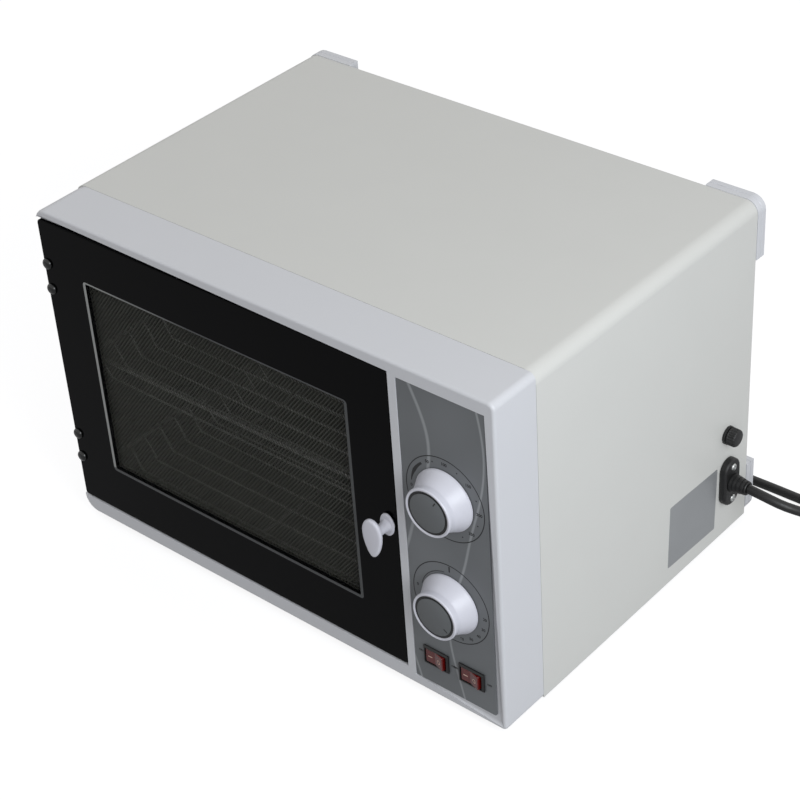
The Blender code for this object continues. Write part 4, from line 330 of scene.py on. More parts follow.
# Mains plug: two round nickel-plated pins in a moulded grip with a ribbed neck. The grip is
# moulded over the end of the cord in one piece.
PLUG_NECK = 0.0260
PLUG_BODY = 0.0260
PLUG_PIN_RADIUS = 0.0024
PLUG_PIN_LENGTH = 0.0190
PLUG_PIN_SPACING = 0.0190
PLUG_RIBS = 6
PLUG_RIBBED_SHARE = 0.85
cord_end = wound_route[-1]
along_minus_x = Matrix.Rotation(math.radians(-90), 4, "Y")
plug_place = Matrix.Translation((cord_end.x - SEAT_GAP, cord_end.y, cord_end.z)) @ along_minus_x
profile = [(0, 0), (0.0050, 0)]
for i in range(PLUG_RIBS):
    low = PLUG_NECK * PLUG_RIBBED_SHARE * i / PLUG_RIBS
    reach = 0.0053 + 0.0040 * (i / PLUG_RIBS) ** 1.5
    bay = PLUG_NECK * PLUG_RIBBED_SHARE / PLUG_RIBS
    profile += [(reach, low + 0.1 * bay), (reach + 0.0002, low + 0.55 * bay),
                (reach - 0.0007, low + 0.65 * bay), (reach - 0.0007, low + 0.95 * bay)]
profile += [(0.0113, PLUG_NECK * 0.93), (0.0137, PLUG_NECK), (0.0168, PLUG_NECK + 0.0042),
            (PLUG_RADIUS - 0.0002, PLUG_NECK + 0.0078), (PLUG_RADIUS, PLUG_NECK + 0.012),
            (PLUG_RADIUS, PLUG_NECK + PLUG_BODY - 0.0012),
            (PLUG_RADIUS - 0.0004, PLUG_NECK + PLUG_BODY - 0.0004),
            (PLUG_RADIUS - 0.0012, PLUG_NECK + PLUG_BODY), (0, PLUG_NECK + PLUG_BODY)]
mains_plug = keep("mains_plug_grip", turned(bmesh.new(), profile, plug_place), moulded_pvc,
                  "cabinet", ("mains_plug",))
# Nickel plate on brass: bright, slightly warm, drawn smooth.
nickel = grain(finish_of("nickel_plated_brass", "#C9C5BC", 0.18, 1.0), 1.5, 0.004, gloss=0.3)
pins = bmesh.new()
for sign in (-1, 1):
    place = plug_place @ Matrix.Translation((0, sign * PLUG_PIN_SPACING / 2, 0))
    start = PLUG_NECK + PLUG_BODY + 0.00005
    tip = start + PLUG_PIN_LENGTH
    turned(pins, [(0, start), (PLUG_PIN_RADIUS, start), (PLUG_PIN_RADIUS, tip - 0.0020),
                  (PLUG_PIN_RADIUS * 0.9, tip - 0.0010), (PLUG_PIN_RADIUS * 0.55, tip - 0.0002),
                  (0, tip)], place, 24)
plug_pins = keep("mains_plug_pins", pins, nickel, "cabinet")

# Cord anchor and strain relief: a black block screwed to the right side holds the moulded
# relief, a short ribbed cone that keeps the cord from bending sharply where it comes out.
ANCHOR_SIZE = (0.0186, 0.0386, 0.0055)
ANCHOR_SCREW_SPACING = 0.0272
RELIEF_LENGTH = 0.0125
RELIEF_RIBS = 4
RELIEF_RIB_SHARE = 0.24
side_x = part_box("cabinet_shell")[1].x
anchor_y, anchor_z = CORD_START.y, CORD_START.z
along_x = Matrix.Rotation(math.radians(90), 4, "Y")
relief_place = Matrix.Translation((side_x, anchor_y, anchor_z)) @ along_x
start = 2 * SEAT_GAP + ANCHOR_SIZE[2]
profile = [(0, -0.0045), (0.0074, -0.0045), (0.0074, -0.0013), (0.0052, -0.0013), (0.0052, start)]
for i in range(RELIEF_RIBS):
    low = start + i * RELIEF_LENGTH * RELIEF_RIB_SHARE
    reach = 0.0070 - 0.0005 * i
    profile += [(reach, low), (reach - 0.0002, low + 0.0017), (reach - 0.0009, low + 0.0020),
                (reach - 0.0009, low + 0.0028)]
tip = start + RELIEF_LENGTH
profile += [(0.0052, tip - 0.0006), (0.0048, tip), (0, tip)]
keep("strain_relief_moulding", turned(bmesh.new(), profile, relief_place, 40), moulded_pvc,
     "cabinet", ("strain_relief",))


WELD_GAP = 1e-6
FLAT_WITHIN = math.radians(0.4)
EASED_ABOVE = math.radians(40)
SMOOTH_BELOW_DEGREES = 35


def dress(node, material, body, bevel=0.0004, reshape=None):
    """Stand in for a rigid CAD node with the same form: flat faces whole, edges eased."""
    mesh = bmesh.new()
    mesh.from_mesh(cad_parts[node].data)
    bmesh.ops.remove_doubles(mesh, verts=mesh.verts, dist=WELD_GAP)
    for vert in mesh.verts if reshape else ():
        vert.co = reshape(vert.co)
    bmesh.ops.dissolve_limit(mesh, angle_limit=FLAT_WITHIN, verts=mesh.verts, edges=mesh.edges)
    piece = keep(node + "_piece", mesh, material, body, (node,), SMOOTH_BELOW_DEGREES)
    if bevel:
        edge = piece.modifiers.new("eased_edges", "BEVEL")
        edge.width = bevel
        edge.segments = 2
        edge.limit_method = "ANGLE"
        edge.angle_limit = EASED_ABOVE
    whole = piece.modifiers.new("flat_faces", "WEIGHTED_NORMAL")
    whole.keep_sharp = True
    return piece


# Polyamide, moulded: satin black with a fine spark-eroded grain.
black_nylon = grain(finish_of("polyamide_black", "#0B0B0C", 0.45), 0.5, 0.02, gloss=0.2)
dress("cord_anchor", black_nylon, "cabinet", 0.0005)
# Zinc plate, clear passivated: pale and silky, with the faint clouding of the bath.
zinc = grain(finish_of("zinc_plated_steel", "#B9BBBA", 0.34, 1.0), 3.0, 0.004, tint=0.06, gloss=0.25)


SCREW_SHANK = 0.004
SCREW_HEAD_RADIUS = 0.0028
SCREW_HEAD_HEIGHT = 0.0014


def screw_head(mesh, place, radius, height):
    """A raised screw head on a shank, with a round recess for its drive."""
    profile = [(0, -SCREW_SHANK), (radius * 0.42, -SCREW_SHANK), (radius * 0.42, 0), (radius, 0),
               (radius, height * 0.25), (radius * 0.93, height * 0.55), (radius * 0.72, height * 0.85),
               (radius * 0.45, height), (radius * 0.40, height * 0.62), (0, height * 0.30)]
    return turned(mesh, profile, place, 32)


screws = bmesh.new()
for sign in (-1, 1):
    spot = (side_x + SEAT_GAP + ANCHOR_SIZE[2], anchor_y, anchor_z + sign * ANCHOR_SCREW_SPACING / 2)
    screw_head(screws, Matrix.Translation(spot) @ along_x, SCREW_HEAD_RADIUS, SCREW_HEAD_HEIGHT)
keep("anchor_screws", screws, zinc, "cabinet")

# Bench and light: a plain white bench top, an even pale room and two soft sources from the
# right, which is the brighter side in the photograph. The nearer one falls off down the side.
BENCH_HALF = 12.0
BENCH_LIFT = 0.84
BENCH_IN_GLOSS_SHARE = 0.35
ROOM_LEVEL = 0.50
LIGHT_FROM = Vector((0.80, -0.42, 0.38))
LIGHT_LEVEL = 0.58
LIGHT_SPREAD = math.radians(35)
PANEL_LAMP_PLACE = Vector((1.00, -0.35, 0.72))
PANEL_LAMP_AIM = Vector((0.15, 0.0, 0.13))
PANEL_LAMP_SIZE = 0.60
PANEL_LAMP_WATTS = 5.3
PANEL_LAMP_TINT = (0.88, 0.94, 1.0)
BENCH_GREY = (0.30, 0.30, 0.31, 1.0)


def shown_rays(tree, mirrored_share):
    """One for the rays that show what lies behind the object: the camera's, those through glass
    and, by their share, the mirrored ones."""
    rays = add_node(tree, "ShaderNodeLightPath")
    shown = add_node(tree, "ShaderNodeMath", {0: rays.outputs["Is Glossy Ray"], 1: mirrored_share},
                     operation="MULTIPLY")
    for kind in ("Is Camera Ray", "Is Transmission Ray"):
        shown = add_node(tree, "ShaderNodeMath", {0: rays.outputs[kind], 1: shown.outputs[0]},
                         operation="MAXIMUM")
    return shown.outputs[0]


bench = bmesh.new()
bmesh.ops.create_grid(bench, x_segments=1, y_segments=1, size=BENCH_HALF)
bench_data = bpy.data.meshes.new("bench")
bench.to_mesh(bench_data)
bench.free()
floor = put("bench", bench_data)
# Matt paint. It is grey to the light that it gives back, as in a room with dark surroundings.
# Camera and see-through rays meet it lifted to white, mirrored ones less so, and it keeps the
# cabinet's shadow.
paint = bpy.data.materials.new("bench_matt_white")
paint.use_nodes = True
tree = paint.node_tree
tree.nodes.remove(tree.nodes["Principled BSDF"])
matt = add_node(tree, "ShaderNodeBsdfDiffuse", {"Color": BENCH_GREY})
lifted = add_node(tree, "ShaderNodeMath", {0: shown_rays(tree, BENCH_IN_GLOSS_SHARE), 1: BENCH_LIFT},
                  operation="MULTIPLY")
glow = add_node(tree, "ShaderNodeEmission", {"Color": (1, 1, 1, 1), "Strength": lifted.outputs[0]})
both = add_node(tree, "ShaderNodeAddShader", {0: matt.outputs[0], 1: glow.outputs[0]})
tree.links.new(both.outputs[0], tree.nodes["Material Output"].inputs["Surface"])
bench_data.materials.append(paint)

room = bpy.data.worlds.new("room")
room.use_nodes = True
bpy.context.scene.world = room
tree = room.node_tree
strength = add_node(tree, "ShaderNodeMapRange", {"Value": shown_rays(tree, 1.0),
                                                "To Min": ROOM_LEVEL, "To Max": 1.0})
tree.nodes["Background"].inputs["Color"].default_value = (1.0, 1.0, 1.0, 1.0)
tree.links.new(strength.outputs[0], tree.nodes["Background"].inputs["Strength"])

source = bpy.data.lights.new("window_light", "SUN")
source.energy = LIGHT_LEVEL
source.angle = LIGHT_SPREAD
lamp = put("window_light", source)
lamp.rotation_euler = LIGHT_FROM.to_track_quat("Z", "Y").to_euler()
source = bpy.data.lights.new("panel_light", "AREA")
source.energy = PANEL_LAMP_WATTS
source.size = PANEL_LAMP_SIZE
source.color = PANEL_LAMP_TINT
lamp = put("panel_light", source)
lamp.location = PANEL_LAMP_PLACE
lamp.rotation_euler = (PANEL_LAMP_PLACE - PANEL_LAMP_AIM).to_track_quat("Z", "Y").to_euler()

# Cabinet shell: one enamelled steel sheet, wrapped over the top and both sides and bent round
# a soft radius at the two upper corners. It is screwed to the base pan underneath.
SHELL_SHEET = 0.0010
SHELL_CORNER = 0.0095
SHELL_CORNER_STEPS = 14
low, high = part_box("cabinet_shell")
# Powder enamel: warm white, satin, with the slight orange peel of a sprayed and baked coat.
enamel = grain(finish_of("powder_enamel_white", "#DADAD6", 0.42), 1.4, 0.012, tint=0.012, gloss=0.12)


def bent_corner(x, z, radius, start, steps):
    """Points of a quarter circle in the x-z plane, turning anticlockwise from a start angle."""
    angles = [start + math.pi / 2 * i / steps for i in range(steps + 1)]
    return [(x + radius * math.cos(a), z + radius * math.sin(a)) for a in angles]


def rounded_box(x0, x1, z0, z1, radius, steps=8):
    """A rounded rectangle in the x-z plane, anticlockwise seen from the front."""
    return (bent_corner(x1 - radius, z1 - radius, radius, 0, steps)
            + bent_corner(x0 + radius, z1 - radius, radius, math.pi / 2, steps)
            + bent_corner(x0 + radius, z0 + radius, radius, math.pi, steps)
            + bent_corner(x1 - radius, z0 + radius, radius, 1.5 * math.pi, steps))


def arch(inset):
    """The wrap seen from the front, from the foot of the right side over to the left."""
    x0, x1, top = low.x + inset, high.x - inset, high.z - inset
    radius = SHELL_CORNER - inset
    return ([(x1, low.z)] + bent_corner(x1 - radius, top - radius, radius, 0, SHELL_CORNER_STEPS)
            + bent_corner(x0 + radius, top - radius, radius, math.pi / 2, SHELL_CORNER_STEPS)
            + [(x0, low.z)])


def skinned(mesh, rings):
    """Join rings of points with faces, and close both ends."""
    rows = [[mesh.verts.new(point) for point in ring] for ring in rings]
    for lower, upper in zip(rows, rows[1:]):
        bridged(mesh, lower, upper)
    mesh.faces.new(rows[0][::-1])
    mesh.faces.new(rows[-1])
    return mesh


outer, inner = arch(0), arch(SHELL_SHEET)
section = outer + inner[::-1]
shell = bmesh.new()
rows = [[shell.verts.new((x, y, z)) for x, z in section] for y in (low.y, high.y)]
bridged(shell, *rows)
count = len(section)
for row in rows:
    for j in range(len(outer) - 1):
        shell.faces.new((row[j], row[j + 1], row[count - 2 - j], row[count - 1 - j]))
keep("cabinet_wrap", shell, enamel, "cabinet", ("cabinet_shell",), 30)
dress("base_pan", enamel, "cabinet", 0.0002)
dress("back_panel", enamel, "cabinet", 0.0)

# Front bezel: one injection moulding with a bay for the door, a bar beside it and a bay for
# the controls, clipped to the front of the chamber. Its edges and its two right corners are
# tighter than the plain solid's.
# ABS, moulded: cool white, satin, with a fine even grain.
white_abs = grain(finish_of("abs_white_moulded", "#D9DADE", 0.38), 0.9, 0.008, tint=0.01, gloss=0.15)
SOLID_EDGE = 0.0070
SOLID_CORNER = 0.0120
BEZEL_EDGE = 0.0022
BEZEL_TOP_CORNER = 0.0050
BEZEL_FOOT_CORNER = 0.0035
NEAR = 0.0001
bezel_low, bezel_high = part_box("front_bezel")


def crisper(point):
    """Where a point of the plain solid lies once its front edge and corners are tighter."""
    x, y, z = point
    side_in = min(x - bezel_low.x, bezel_high.x - x)
    end_in = min(z - bezel_low.z, bezel_high.z - z)
    depth = y - bezel_low.y
    reach = math.hypot(SOLID_CORNER - side_in, SOLID_CORNER - end_in)
    cornered = (side_in < SOLID_CORNER and end_in < SOLID_CORNER
                and reach > SOLID_CORNER - SOLID_EDGE - NEAR)
    inset = SOLID_CORNER - reach if cornered else min(side_in, end_in)
    new_inset = inset
    if inset < SOLID_EDGE + NEAR and depth < SOLID_EDGE + NEAR:
        round_off = math.hypot(SOLID_EDGE - inset, SOLID_EDGE - depth)
        if abs(round_off - SOLID_EDGE) < NEAR:
            new_inset = inset * BEZEL_EDGE / SOLID_EDGE
            depth = depth * BEZEL_EDGE / SOLID_EDGE
    if cornered:
        corner = BEZEL_TOP_CORNER if bezel_high.z - z < z - bezel_low.z else BEZEL_FOOT_CORNER
        corner = SOLID_CORNER if x - bezel_low.x < bezel_high.x - x else corner
        new_side = corner - (corner - new_inset) * (SOLID_CORNER - side_in) / reach
        new_end = corner - (corner - new_inset) * (SOLID_CORNER - end_in) / reach
    elif side_in < end_in:
        new_side, new_end = new_inset, end_in
    else:
        new_side, new_end = side_in, new_inset
    new_x = bezel_low.x + new_side if x - bezel_low.x < bezel_high.x - x else bezel_high.x - new_side
    new_z = bezel_low.z + new_end if z - bezel_low.z < bezel_high.z - z else bezel_high.z - new_end
    return Vector((new_x, bezel_low.y + depth, new_z))


dress("front_bezel", white_abs, "cabinet", 0.0005, reshape=crisper)

# Corner bumpers: four moulded white corners pushed on behind the cabinet, which keep its back
# off the wall.
for corner in ("top_left", "top_right", "bottom_left", "bottom_right"):
    dress("rear_bumper_" + corner, white_abs, "cabinet", 0.0004)

# Rubber feet: four black rubber feet, each held by a stem through the base pan.
# Rubber: matt, near black, slightly dusty.
rubber = grain(finish_of("rubber_black", "#1B1B1B", 0.75), 0.8, 0.03, tint=0.15)
for corner in ("front_left", "front_right", "rear_left", "rear_right"):
    dress("foot_" + corner, rubber, "cabinet", 0.0003)

# Rating plate: a thin bare foil label stuck low on the right side, a little out of square.
LABEL_Y = (0.0479, 0.1059)
LABEL_Z = (0.0185, 0.0709)
LABEL_TILT = math.radians(-2.0)
LABEL_THICKNESS = 0.00012
LABEL_GLUE = 0.00002
LABEL_CORNER = 0.0012
# Aluminium foil with a brushed silver face: grey, with a soft sheen along its grain.
foil = grain(finish_of("aluminium_foil_silver", "#A0A2A4", 0.42, 0.35), 0.6, 0.004, tint=0.05,
             gloss=0.2, stretch=(1, 0.08, 1))
middle_y, middle_z = sum(LABEL_Y) / 2, sum(LABEL_Z) / 2
half_y, half_z = (LABEL_Y[1] - LABEL_Y[0]) / 2, (LABEL_Z[1] - LABEL_Z[0]) / 2
tilt = Matrix.Rotation(LABEL_TILT, 2)
outline = [tilt @ Vector(point)
           for point in rounded_box(-half_y, half_y, -half_z, half_z, LABEL_CORNER, 4)]
label = skinned(bmesh.new(), [[(side_x + depth, middle_y + p.x, middle_z + p.y) for p in outline]
                              for depth in (LABEL_GLUE, LABEL_THICKNESS)])
keep("rating_plate", label, foil, "cabinet")

# Fuse holder: a black bayonet holder through the right side, closed by a ribbed cap. The cap
# turns a quarter to open.
FUSE_CAP_RADIUS = 0.0066
FUSE_CAP_HEIGHT = 0.0068
FUSE_RIBS = 20
FUSE_RIB_DEPTH = 0.0006
FUSE_SEAT = 0.0026
FUSE_STEPS = 80
low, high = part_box("fuse_cap")
fuse_y, fuse_z = (low.y + high.y) / 2, (low.z + high.z) / 2
fuse_place = Matrix.Translation((side_x, fuse_y, fuse_z)) @ along_x
dress("fuse_holder", black_nylon, "cabinet", 0.0003)
seat = FUSE_SEAT
top = seat + FUSE_CAP_HEIGHT
radius = FUSE_CAP_RADIUS
profile = [(0, seat - 0.0080), (0.0039, seat - 0.0080), (0.0039, seat), (radius - 0.0004, seat),
           (radius, seat + 0.0004), (radius, seat + 0.0009), (radius, seat + 0.0012, 1),
           (radius, top - 0.0015, 1), (radius - 0.0003, top - 0.0008, 0.6), (radius - 0.0008, top - 0.0002),
           (radius - 0.0014, top), (0, top)]
fuse_cap = turned(bmesh.new(), profile, fuse_place, FUSE_STEPS, FUSE_RIBS, FUSE_RIB_DEPTH)
keep("fuse_cap_ribbed", fuse_cap, black_nylon, "fuse_cap", ("fuse_cap",), 40)

# Control fascia: a dark grey printed sheet let into the front of the bezel. Its print has faint
# pale lines that run down it in slow curves, and black scales round both dials.
low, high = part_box("control_fascia")
fascia_front = low.y
FASCIA_LINE_SCALE = 7.0
FASCIA_LINE_DRIFT = 0.075
FASCIA_LINE_STRENGTH = 0.40
FASCIA_TONE_SCALE = 14.0
# Polycarbonate sheet printed at the back: neutral grey, satin, with pale lines in its print.
fascia = finish_of("polycarbonate_printed_grey", "#67696A", 0.42)
tree = fascia.node_tree
shader = tree.nodes["Principled BSDF"]
place = add_node(tree, "ShaderNodeTexCoord").outputs["Object"]
bend = add_node(tree, "ShaderNodeTexNoise", {"Vector": place, "Scale": FASCIA_LINE_SCALE,
                                            "Detail": 0.0})
shift = add_node(tree, "ShaderNodeVectorMath", {0: bend.outputs["Color"],
                                               1: (FASCIA_LINE_DRIFT, 0.0, 0.0)},
                 operation="MULTIPLY")
moved = add_node(tree, "ShaderNodeVectorMath", {0: place, 1: shift.outputs[0]}, operation="ADD")
lines = add_node(tree, "ShaderNodeTexWave", {
    "Vector": moved.outputs[0], "Scale": FASCIA_LINE_SCALE, "Distortion": 0.0},
                 wave_type="BANDS", bands_direction="X", wave_profile="SIN")
thin = add_node(tree, "ShaderNodeMapRange", {
    "Value": lines.outputs["Fac"], "From Min": 0.990, "From Max": 1.0, "To Min": 0.0,
    "To Max": FASCIA_LINE_STRENGTH})
tone = add_node(tree, "ShaderNodeTexNoise", {"Vector": place, "Scale": FASCIA_TONE_SCALE,
                                            "Detail": 1.0})
mix = add_node(tree, "ShaderNodeMix", {
    "Factor": tone.outputs["Fac"], "A": (*linear("#5A5D5F"), 1.0),
    "B": (*linear("#7C7F82"), 1.0)}, data_type="RGBA")
pale = add_node(tree, "ShaderNodeMix", {
    "Factor": thin.outputs[0], "A": mix.outputs["Result"], "B": (*linear("#C4C7C9"), 1.0)},
                data_type="RGBA")
tree.links.new(pale.outputs["Result"], shader.inputs["Base Color"])
dress("control_fascia", fascia, "cabinet", 0.0)

# Screen-printed ink on the fascia: flat black, as thin as ink can be drawn here.
INK_THICKNESS = 0.00004
DIAL_CIRCLE = 0.0308
DIAL_LINE = 0.00070
MARK_RADIUS = 0.0268
TIMER_MARK_RADIUS = 0.0274
WEDGE_WIDTHS = (0.0005, 0.0025, 0.0016)
WEDGE_DEGREES = (173, 152, 131)
TIMER_ARC_DEGREES = (168, 100)
CIRCLE_STEPS = 120
DOT_RADIUS = 0.00028
DOT_WIDTH = 0.00054
TIMER_ARC_RADIUS = 0.0240
TIMER_ARC_WIDTH = 0.0005
TIMER_BAR = (0.0253, 0.0299)
TIMER_BAR_HALF = 0.0005
TEXT_HEIGHT = 0.0031
SWITCH_TEXT_HEIGHT = 0.0022
ON_GAP = 0.0032
OFF_GAP = 0.0035
LETTER_BOLD = 0.00010
ink = finish_of("screen_print_black", "#0B0B0C", 0.5)


def dial_point(centre, radius, degrees, depth):
    """A point on the fascia round a dial, seen from the front, anticlockwise from the right."""
    a = math.radians(degrees)
    return Vector((centre.x + radius * math.cos(a), depth, centre.z + radius * math.sin(a)))


def printed_arc(mesh, centre, start, end, radius, width, width_end=None, steps=72, front=None):
    """A flat printed stroke along an arc, whose width may change along it."""
    width_end = width if width_end is None else width_end
    front = fascia_front if front is None else front
    rings = []
    for i in range(steps + 1):
        share = i / steps
        wide = width + (width_end - width) * share
        a = start + (end - start) * share
        rings.append([mesh.verts.new(dial_point(centre, radius + sign * wide / 2, a, front - deep))
                      for sign, deep in ((-1, 0), (1, 0), (1, INK_THICKNESS), (-1, INK_THICKNESS))])
    whole = abs(end - start) >= 360
    if whole:
        for vert in rings.pop():
            mesh.verts.remove(vert)
    count = len(rings)
    for i in range(count if whole else count - 1):
        bridged(mesh, rings[i], rings[(i + 1) % count])
    if not whole:
        mesh.faces.new(rings[0][::-1])
        mesh.faces.new(rings[-1])


def printed_text(mesh, words, spot, height):
    """Flat generic lettering, upright in the x-z plane, its middle at a spot."""
    font = bpy.data.curves.new("lettering", "FONT")
    font.body = words
    font.size = height
    font.align_x = "CENTER"
    font.align_y = "CENTER"
    font.extrude = INK_THICKNESS / 2
    font.offset = LETTER_BOLD
    writer = put("lettering", font)
    made = bpy.data.meshes.new_from_object(
        writer.evaluated_get(bpy.context.evaluated_depsgraph_get()))
    made.transform(Matrix.Translation(spot) @ Matrix.Rotation(math.radians(90), 4, "X"))
    mesh.from_mesh(made)
    bpy.data.objects.remove(writer, do_unlink=True)
    bpy.data.meshes.remove(made)


dials = {name: (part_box(name + "_knob")[0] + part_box(name + "_knob")[1]) / 2
         for name in ("thermostat", "timer")}
text_y = fascia_front - INK_THICKNESS / 2
scales = bmesh.new()
centre = dials["thermostat"]
printed_arc(scales, centre, 0, 360, DIAL_CIRCLE, DIAL_LINE, steps=CIRCLE_STEPS)
for i in range(2):
    printed_arc(scales, centre, *WEDGE_DEGREES[i:i + 2], MARK_RADIUS, *WEDGE_WIDTHS[i:i + 2], 16)
for words, degrees in (("0", 181), ("50", 119), ("100", 89), ("150", 45), ("200", 0), ("250", -42)):
    spot = dial_point(centre, MARK_RADIUS, degrees, text_y)
    printed_text(scales, words, spot, TEXT_HEIGHT)
for degrees in (109, 67, 22, -20, -62):
    spot = dial_point(centre, MARK_RADIUS, degrees, fascia_front)
    printed_arc(scales, spot, 0, 360, DOT_RADIUS, DOT_WIDTH, steps=16)
centre = dials["timer"]
printed_arc(scales, centre, 0, 360, DIAL_CIRCLE, DIAL_LINE, steps=CIRCLE_STEPS)
printed_arc(scales, centre, *TIMER_ARC_DEGREES, TIMER_ARC_RADIUS, TIMER_ARC_WIDTH, steps=40)
for words, degrees in (("0", 175), ("20", 0), ("30", -20), ("40", -38), ("50", -56), ("60", -74)):
    spot = dial_point(centre, TIMER_MARK_RADIUS, degrees, text_y)
    printed_text(scales, words, spot, TEXT_HEIGHT)
bar = [dial_point(centre, radius, 90, 0) for radius in TIMER_BAR]
rise = bar[1].z - bar[0].z
corners = [(-TIMER_BAR_HALF, 0), (TIMER_BAR_HALF, 0), (TIMER_BAR_HALF, rise), (-TIMER_BAR_HALF, rise)]
skinned(scales, [[(bar[0].x + dx, y, bar[0].z + dz) for dx, dz in corners]
                 for y in (fascia_front - INK_THICKNESS, fascia_front)])
switches = {name: (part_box(name + "_switch_housing")[0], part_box(name + "_switch_housing")[1])
            for name in ("heater", "lamp")}
for name, (low, high) in switches.items():
    z = (low.z + high.z) / 2
    printed_text(scales, "ON", Vector((low.x - ON_GAP, text_y, z)), SWITCH_TEXT_HEIGHT)
    printed_text(scales, "OFF", Vector((high.x + OFF_GAP, text_y, z)), SWITCH_TEXT_HEIGHT)
keep("dial_scales", scales, ink, "cabinet")

# Control knobs: skirted knobs moulded in white plastic, pushed on the shafts. A black ring and
# a grey disc with a pointer line are set in the face of each.
KNOB_HEIGHT = 0.0168
KNOB_BASE = 0.0223
KNOB_WAIST = 0.0170
KNOB_RIM = 0.0176
KNOB_STEPS = 96
KNOB_FOOT = 0.0017
KNOB_SKIRT = 0.0104
KNOB_FLARE_POWER = 1.2
KNOB_FLARE_POINTS = 12
KNOB_BORE = 0.0033
KNOB_BOSS = 0.0055
KNOB_HOLLOW = 0.0146
RING_POCKET = 0.0013
POINTER_SPAN = (0.0095, 0.0130)
POINTER_HALF = 0.00042
RING_OUTER = 0.0157
DISC_RADIUS = 0.0138
# ABS, polished mould: cool white, satin, with soft reflections.
knob_white = grain(finish_of("abs_white_polished", "#DADAE3", 0.34), 6.0, 0.01,
                   tint=0.008, gloss=0.1)
ring_black = grain(finish_of("abs_black_satin", "#030303", 0.40), 0.5, 0.005, gloss=0.1)
# Anodised aluminium disc: dark grey with a fine circular grain.
disc_grey = grain(finish_of("anodised_aluminium_grey", "#66696B", 0.50, 0.2), 0.5, 0.004, tint=0.04,
                  gloss=0.15)
POINTERS = {"thermostat": 58.0, "timer": -36.0}
toward_front = Matrix.Rotation(math.radians(90), 4, "X")
for name, centre in dials.items():
    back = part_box(name + "_knob")[1].y
    place = Matrix.Translation((centre.x, back, centre.z)) @ toward_front
    flare = KNOB_BASE - KNOB_WAIST
    skirt = [(KNOB_BASE, 0.0), (KNOB_BASE, 0.0012), (KNOB_BASE - 0.0003, KNOB_FOOT)]
    for i in range(1, KNOB_FLARE_POINTS + 1):
        up = i / KNOB_FLARE_POINTS
        reach = KNOB_WAIST + (flare - 0.0003) * (1 - up) ** KNOB_FLARE_POWER
        skirt.append((reach, KNOB_FOOT + up * KNOB_SKIRT))
    profile = [(0, 0.0143), (KNOB_BORE, 0.0143), (KNOB_BORE, 0.0020), (KNOB_BOSS, 0.0020),
               (KNOB_BOSS, KNOB_HOLLOW), (0.0144, KNOB_HOLLOW), (0.0148, 0.0090), (0.0160, 0.0045),
               (KNOB_BASE - 0.0020, 0.0)]
    profile += skirt
    profile += [(KNOB_RIM, KNOB_HEIGHT - 0.0012), (KNOB_RIM - 0.0002, KNOB_HEIGHT - 0.0004),
                (KNOB_RIM - 0.0006, KNOB_HEIGHT), (RING_OUTER + 0.0004, KNOB_HEIGHT),
                (RING_OUTER, KNOB_HEIGHT - 0.0003), (RING_OUTER, KNOB_HEIGHT - RING_POCKET),
                (0, KNOB_HEIGHT - RING_POCKET)]
    ring_foot, ring_face = KNOB_HEIGHT - 0.0012, KNOB_HEIGHT - 0.0006
    ring = [(0, ring_foot), (RING_OUTER - 0.0001, ring_foot), (RING_OUTER - 0.0001, ring_face),
            (DISC_RADIUS, ring_face), (0, ring_face)]
    disc_foot = KNOB_HEIGHT - 0.0005
    disc = [(0, disc_foot), (DISC_RADIUS, disc_foot), (DISC_RADIUS, KNOB_HEIGHT - 0.0002),
            (DISC_RADIUS - 0.0003, KNOB_HEIGHT), (0, KNOB_HEIGHT)]
    for part, line, material, slot, nodes in (
            ("_knob_body", profile, knob_white, "knob_white", (name + "_knob",)),
            ("_knob_ring", ring, ring_black, "knob_disc_grey", (name + "_knob_cap",)),
            ("_knob_disc", disc, disc_grey, "knob_disc_grey", ())):
        keep(name + part, turned(bmesh.new(), line, place, KNOB_STEPS), material, name + "_knob",
             nodes)
    pointer = bmesh.new()
    angle = POINTERS[name]
    ends = [dial_point(centre, radius, angle, back - KNOB_HEIGHT) for radius in POINTER_SPAN]
    across = (ends[1] - ends[0]).normalized().cross(Vector((0, 1, 0))) * POINTER_HALF
    corners = [ends[0] - across, ends[0] + across, ends[1] + across, ends[1] - across]
    skinned(pointer, [[p - Vector((0, deep, 0)) for p in corners] for deep in (0, INK_THICKNESS)])
    keep(name + "_knob_pointer", pointer, ink, name + "_knob")
    for part in ("_shaft", "_body"):
        body = name + "_knob" if part == "_shaft" else "cabinet"
        dress(name + part, zinc, body, 0.0002)

# Rocker switches: snap-in housings of black nylon with a dark red translucent rocker each. A
# pale stroke and ring are printed on the two halves of the rocker.
ROCKER_TILT = math.radians(-8.0)
ROCKER_HALF = 0.0079
ROCKER_END = 0.0044
ROCKER_MIDDLE = 0.0032
ROCKER_SEAT = 0.0005
ROCKER_AXIS_DEPTH = 0.0020
STROKE_HALF = (0.0018, 0.00035)
RING_MARK_RADIUS = 0.0014
RING_MARK_WIDTH = 0.0005
